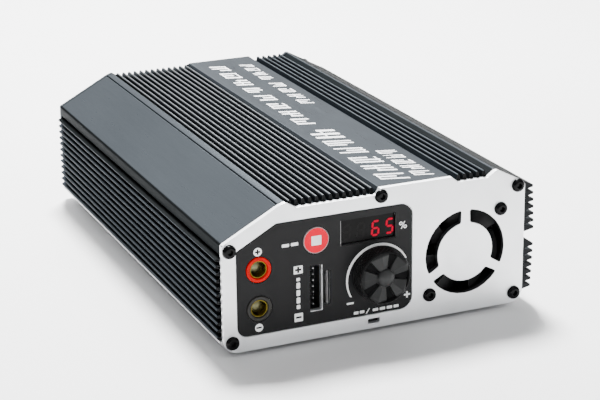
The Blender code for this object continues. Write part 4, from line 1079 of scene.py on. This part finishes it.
def make_fan_rotor():
    """Seven thin pitched blades on a cup-shaped hub."""
    low, high = panel_box("fan_rotor")
    front, back = low.y, high.y
    solid = Solid()
    cup = [(0, front), (7.9, front), (8.6, front + 0.25), (8.85, front + 0.9), (8.85, back), (0, back)]
    solid.turned(cup, FAN_CENTRE, 48)
    face = solid.bm.faces.new
    spans, chords = range(SPAN_PARTS), range(CHORD_PARTS)
    for blade in range(FAN_BLADES):
        turn = FIRST_BLADE + 360 * blade / FAN_BLADES
        near, far = (blade_side(solid, turn, side, front) for side in (0, 1))
        for grid in (near, far):
            for j in spans:
                for k in chords:
                    face([grid[j][k], grid[j + 1][k], grid[j + 1][k + 1], grid[j][k + 1]])
        for j in spans:
            for k in (0, CHORD_PARTS):
                face([near[j][k], near[j + 1][k], far[j + 1][k], far[j][k]])
        for k in chords:
            for j in (0, SPAN_PARTS):
                face([near[j][k], near[j][k + 1], far[j][k + 1], far[j][k]])
    solid.make("fan_blades", FAN_MOULDING, "fan_wheel", ["fan_rotor"], "black_plastic", sharp=40,
               flat_caps=False)


# Carried-over CAD nodes


NODE_LOOKS = {
    "fan_": BLACK, "board": BOARD, "core": FERRITE, "winding": WINDING, "capacitor": SLEEVE,
    "spreader": TRAY, "inlet_housing": BLACK, "inlet_pin": STEEL, "nut": STEEL, "switch": STEEL,
    "encoder_body": STEEL, "shaft": STEEL, "plunger": BLACK, "service": KNOB_HUB,
}


def dress_nodes():
    """Give the CAD nodes that stay in view, or inside, their procedural materials."""
    for name, node in NODES.items():
        for part, look in NODE_LOOKS.items():
            if part in name:
                node.data.materials.clear()
                node.data.materials.append(look)


# Studio


FLOOR_REACH = 6.0
DOME_TINT = (0.96, 0.98, 1.0)
DOME_LEVELS = ((0.0, 0.25), (0.2, 0.45), (0.5, 1.0), (0.8, 1.0))
DOME_STRENGTH = 0.5
# Place, width and height, and power; every box faces the row's origin
LIGHT_BOXES = (
    ("key_box", (0.13, 0.50, 1.06), (0.30, 0.30), 71.0),
    ("back_box", (0.16, 1.30, 0.66), (1.9, 0.66), 19.0),
    ("rim_box", (0.26, 1.15, 0.66), (0.22, 0.22), 5.0),
    ("front_box", (0.20, -1.0, 0.90), (0.9, 0.4), 4.5),
)
# The camera's lens, axes and place, fitted to the photograph
LENS, SENSOR = 107.61, 36.0
CAMERA_RIGHT = Vector((0.91590, -0.40124, -0.01133))
CAMERA_UP = Vector((0.14027, 0.29348, 0.94562))
CAMERA_FORWARD = Vector((0.37609, 0.86769, -0.32508))
CAMERA_AT = (-225.330, -595.120, 281.669)


def make_stage():
    base = Vector(CAD_BOX[0]).z
    mesh = bpy.data.meshes.new("floor")
    corners = rectangle(-FLOOR_REACH, FLOOR_REACH, -FLOOR_REACH, FLOOR_REACH)
    mesh.from_pydata([(x, y, base) for x, y in corners], [], [(0, 1, 2, 3)])
    floor = bpy.data.objects.new("floor", mesh)
    bpy.context.scene.collection.objects.link(floor)
    look = Look("pale_floor")
    grain = look.noise(300.0)
    tone = look.mix(look.ramp(grain, 0.3, 0.7, 0.0, 1.0), (0.90, 0.90, 0.90), (0.93, 0.93, 0.93))
    mesh.materials.append(look.done(tone, 0.6))


def add_light(name, at, size, power):
    lamp = bpy.data.lights.new(name, "AREA")
    lamp.shape = "RECTANGLE"
    lamp.size, lamp.size_y = size
    lamp.energy = power
    item = bpy.data.objects.new(name, lamp)
    bpy.context.scene.collection.objects.link(item)
    item.location = at
    item.rotation_euler = (-Vector(at)).to_track_quat("-Z", "Y").to_euler()


def make_lights():
    """A dim dome, a key high up, a wide box and a small one behind, and a soft fill in front."""
    world = bpy.data.worlds.new("studio")
    bpy.context.scene.world = world
    world.use_nodes = True
    nodes, links = world.node_tree.nodes, world.node_tree.links
    direction = nodes.new("ShaderNodeTexCoord")
    split = nodes.new("ShaderNodeSeparateXYZ")
    ramp = nodes.new("ShaderNodeValToRGB")
    links.new(direction.outputs["Generated"], split.inputs["Vector"])
    links.new(split.outputs["Z"], ramp.inputs["Fac"])
    links.new(ramp.outputs["Color"], nodes["Background"].inputs["Color"])
    stops = ramp.color_ramp.elements
    for height, level in DOME_LEVELS:
        stop = stops.new(height)
        stop.color = (*[level * tint for tint in DOME_TINT], 1.0)
    stops.remove(stops[0])
    stops.remove(stops[-1])
    nodes["Background"].inputs["Strength"].default_value = DOME_STRENGTH
    for box in LIGHT_BOXES:
        add_light(*box)


def make_camera():
    data = bpy.data.cameras.new("camera")
    data.sensor_width = SENSOR
    data.lens = LENS
    data.clip_start, data.clip_end = 0.01, 50.0
    camera = bpy.data.objects.new("camera", data)
    bpy.context.scene.collection.objects.link(camera)
    spin = Matrix((CAMERA_RIGHT, CAMERA_UP, -CAMERA_FORWARD)).transposed()
    camera.matrix_world = Matrix.Translation(to_row(*CAMERA_AT)) @ spin.to_4x4()
    bpy.context.scene.camera = camera


make_housing()
make_tray()
make_feet()
make_front_plate()
make_overlay()
make_rear_plate()
make_screws()
make_stop_button()
make_display()
make_knob()
make_sockets()
make_shade_rings()
make_panel_print()
make_top_print()
make_port()
make_pins()
make_fan_rotor()
dress_nodes()
make_stage()
make_lights()
make_camera()
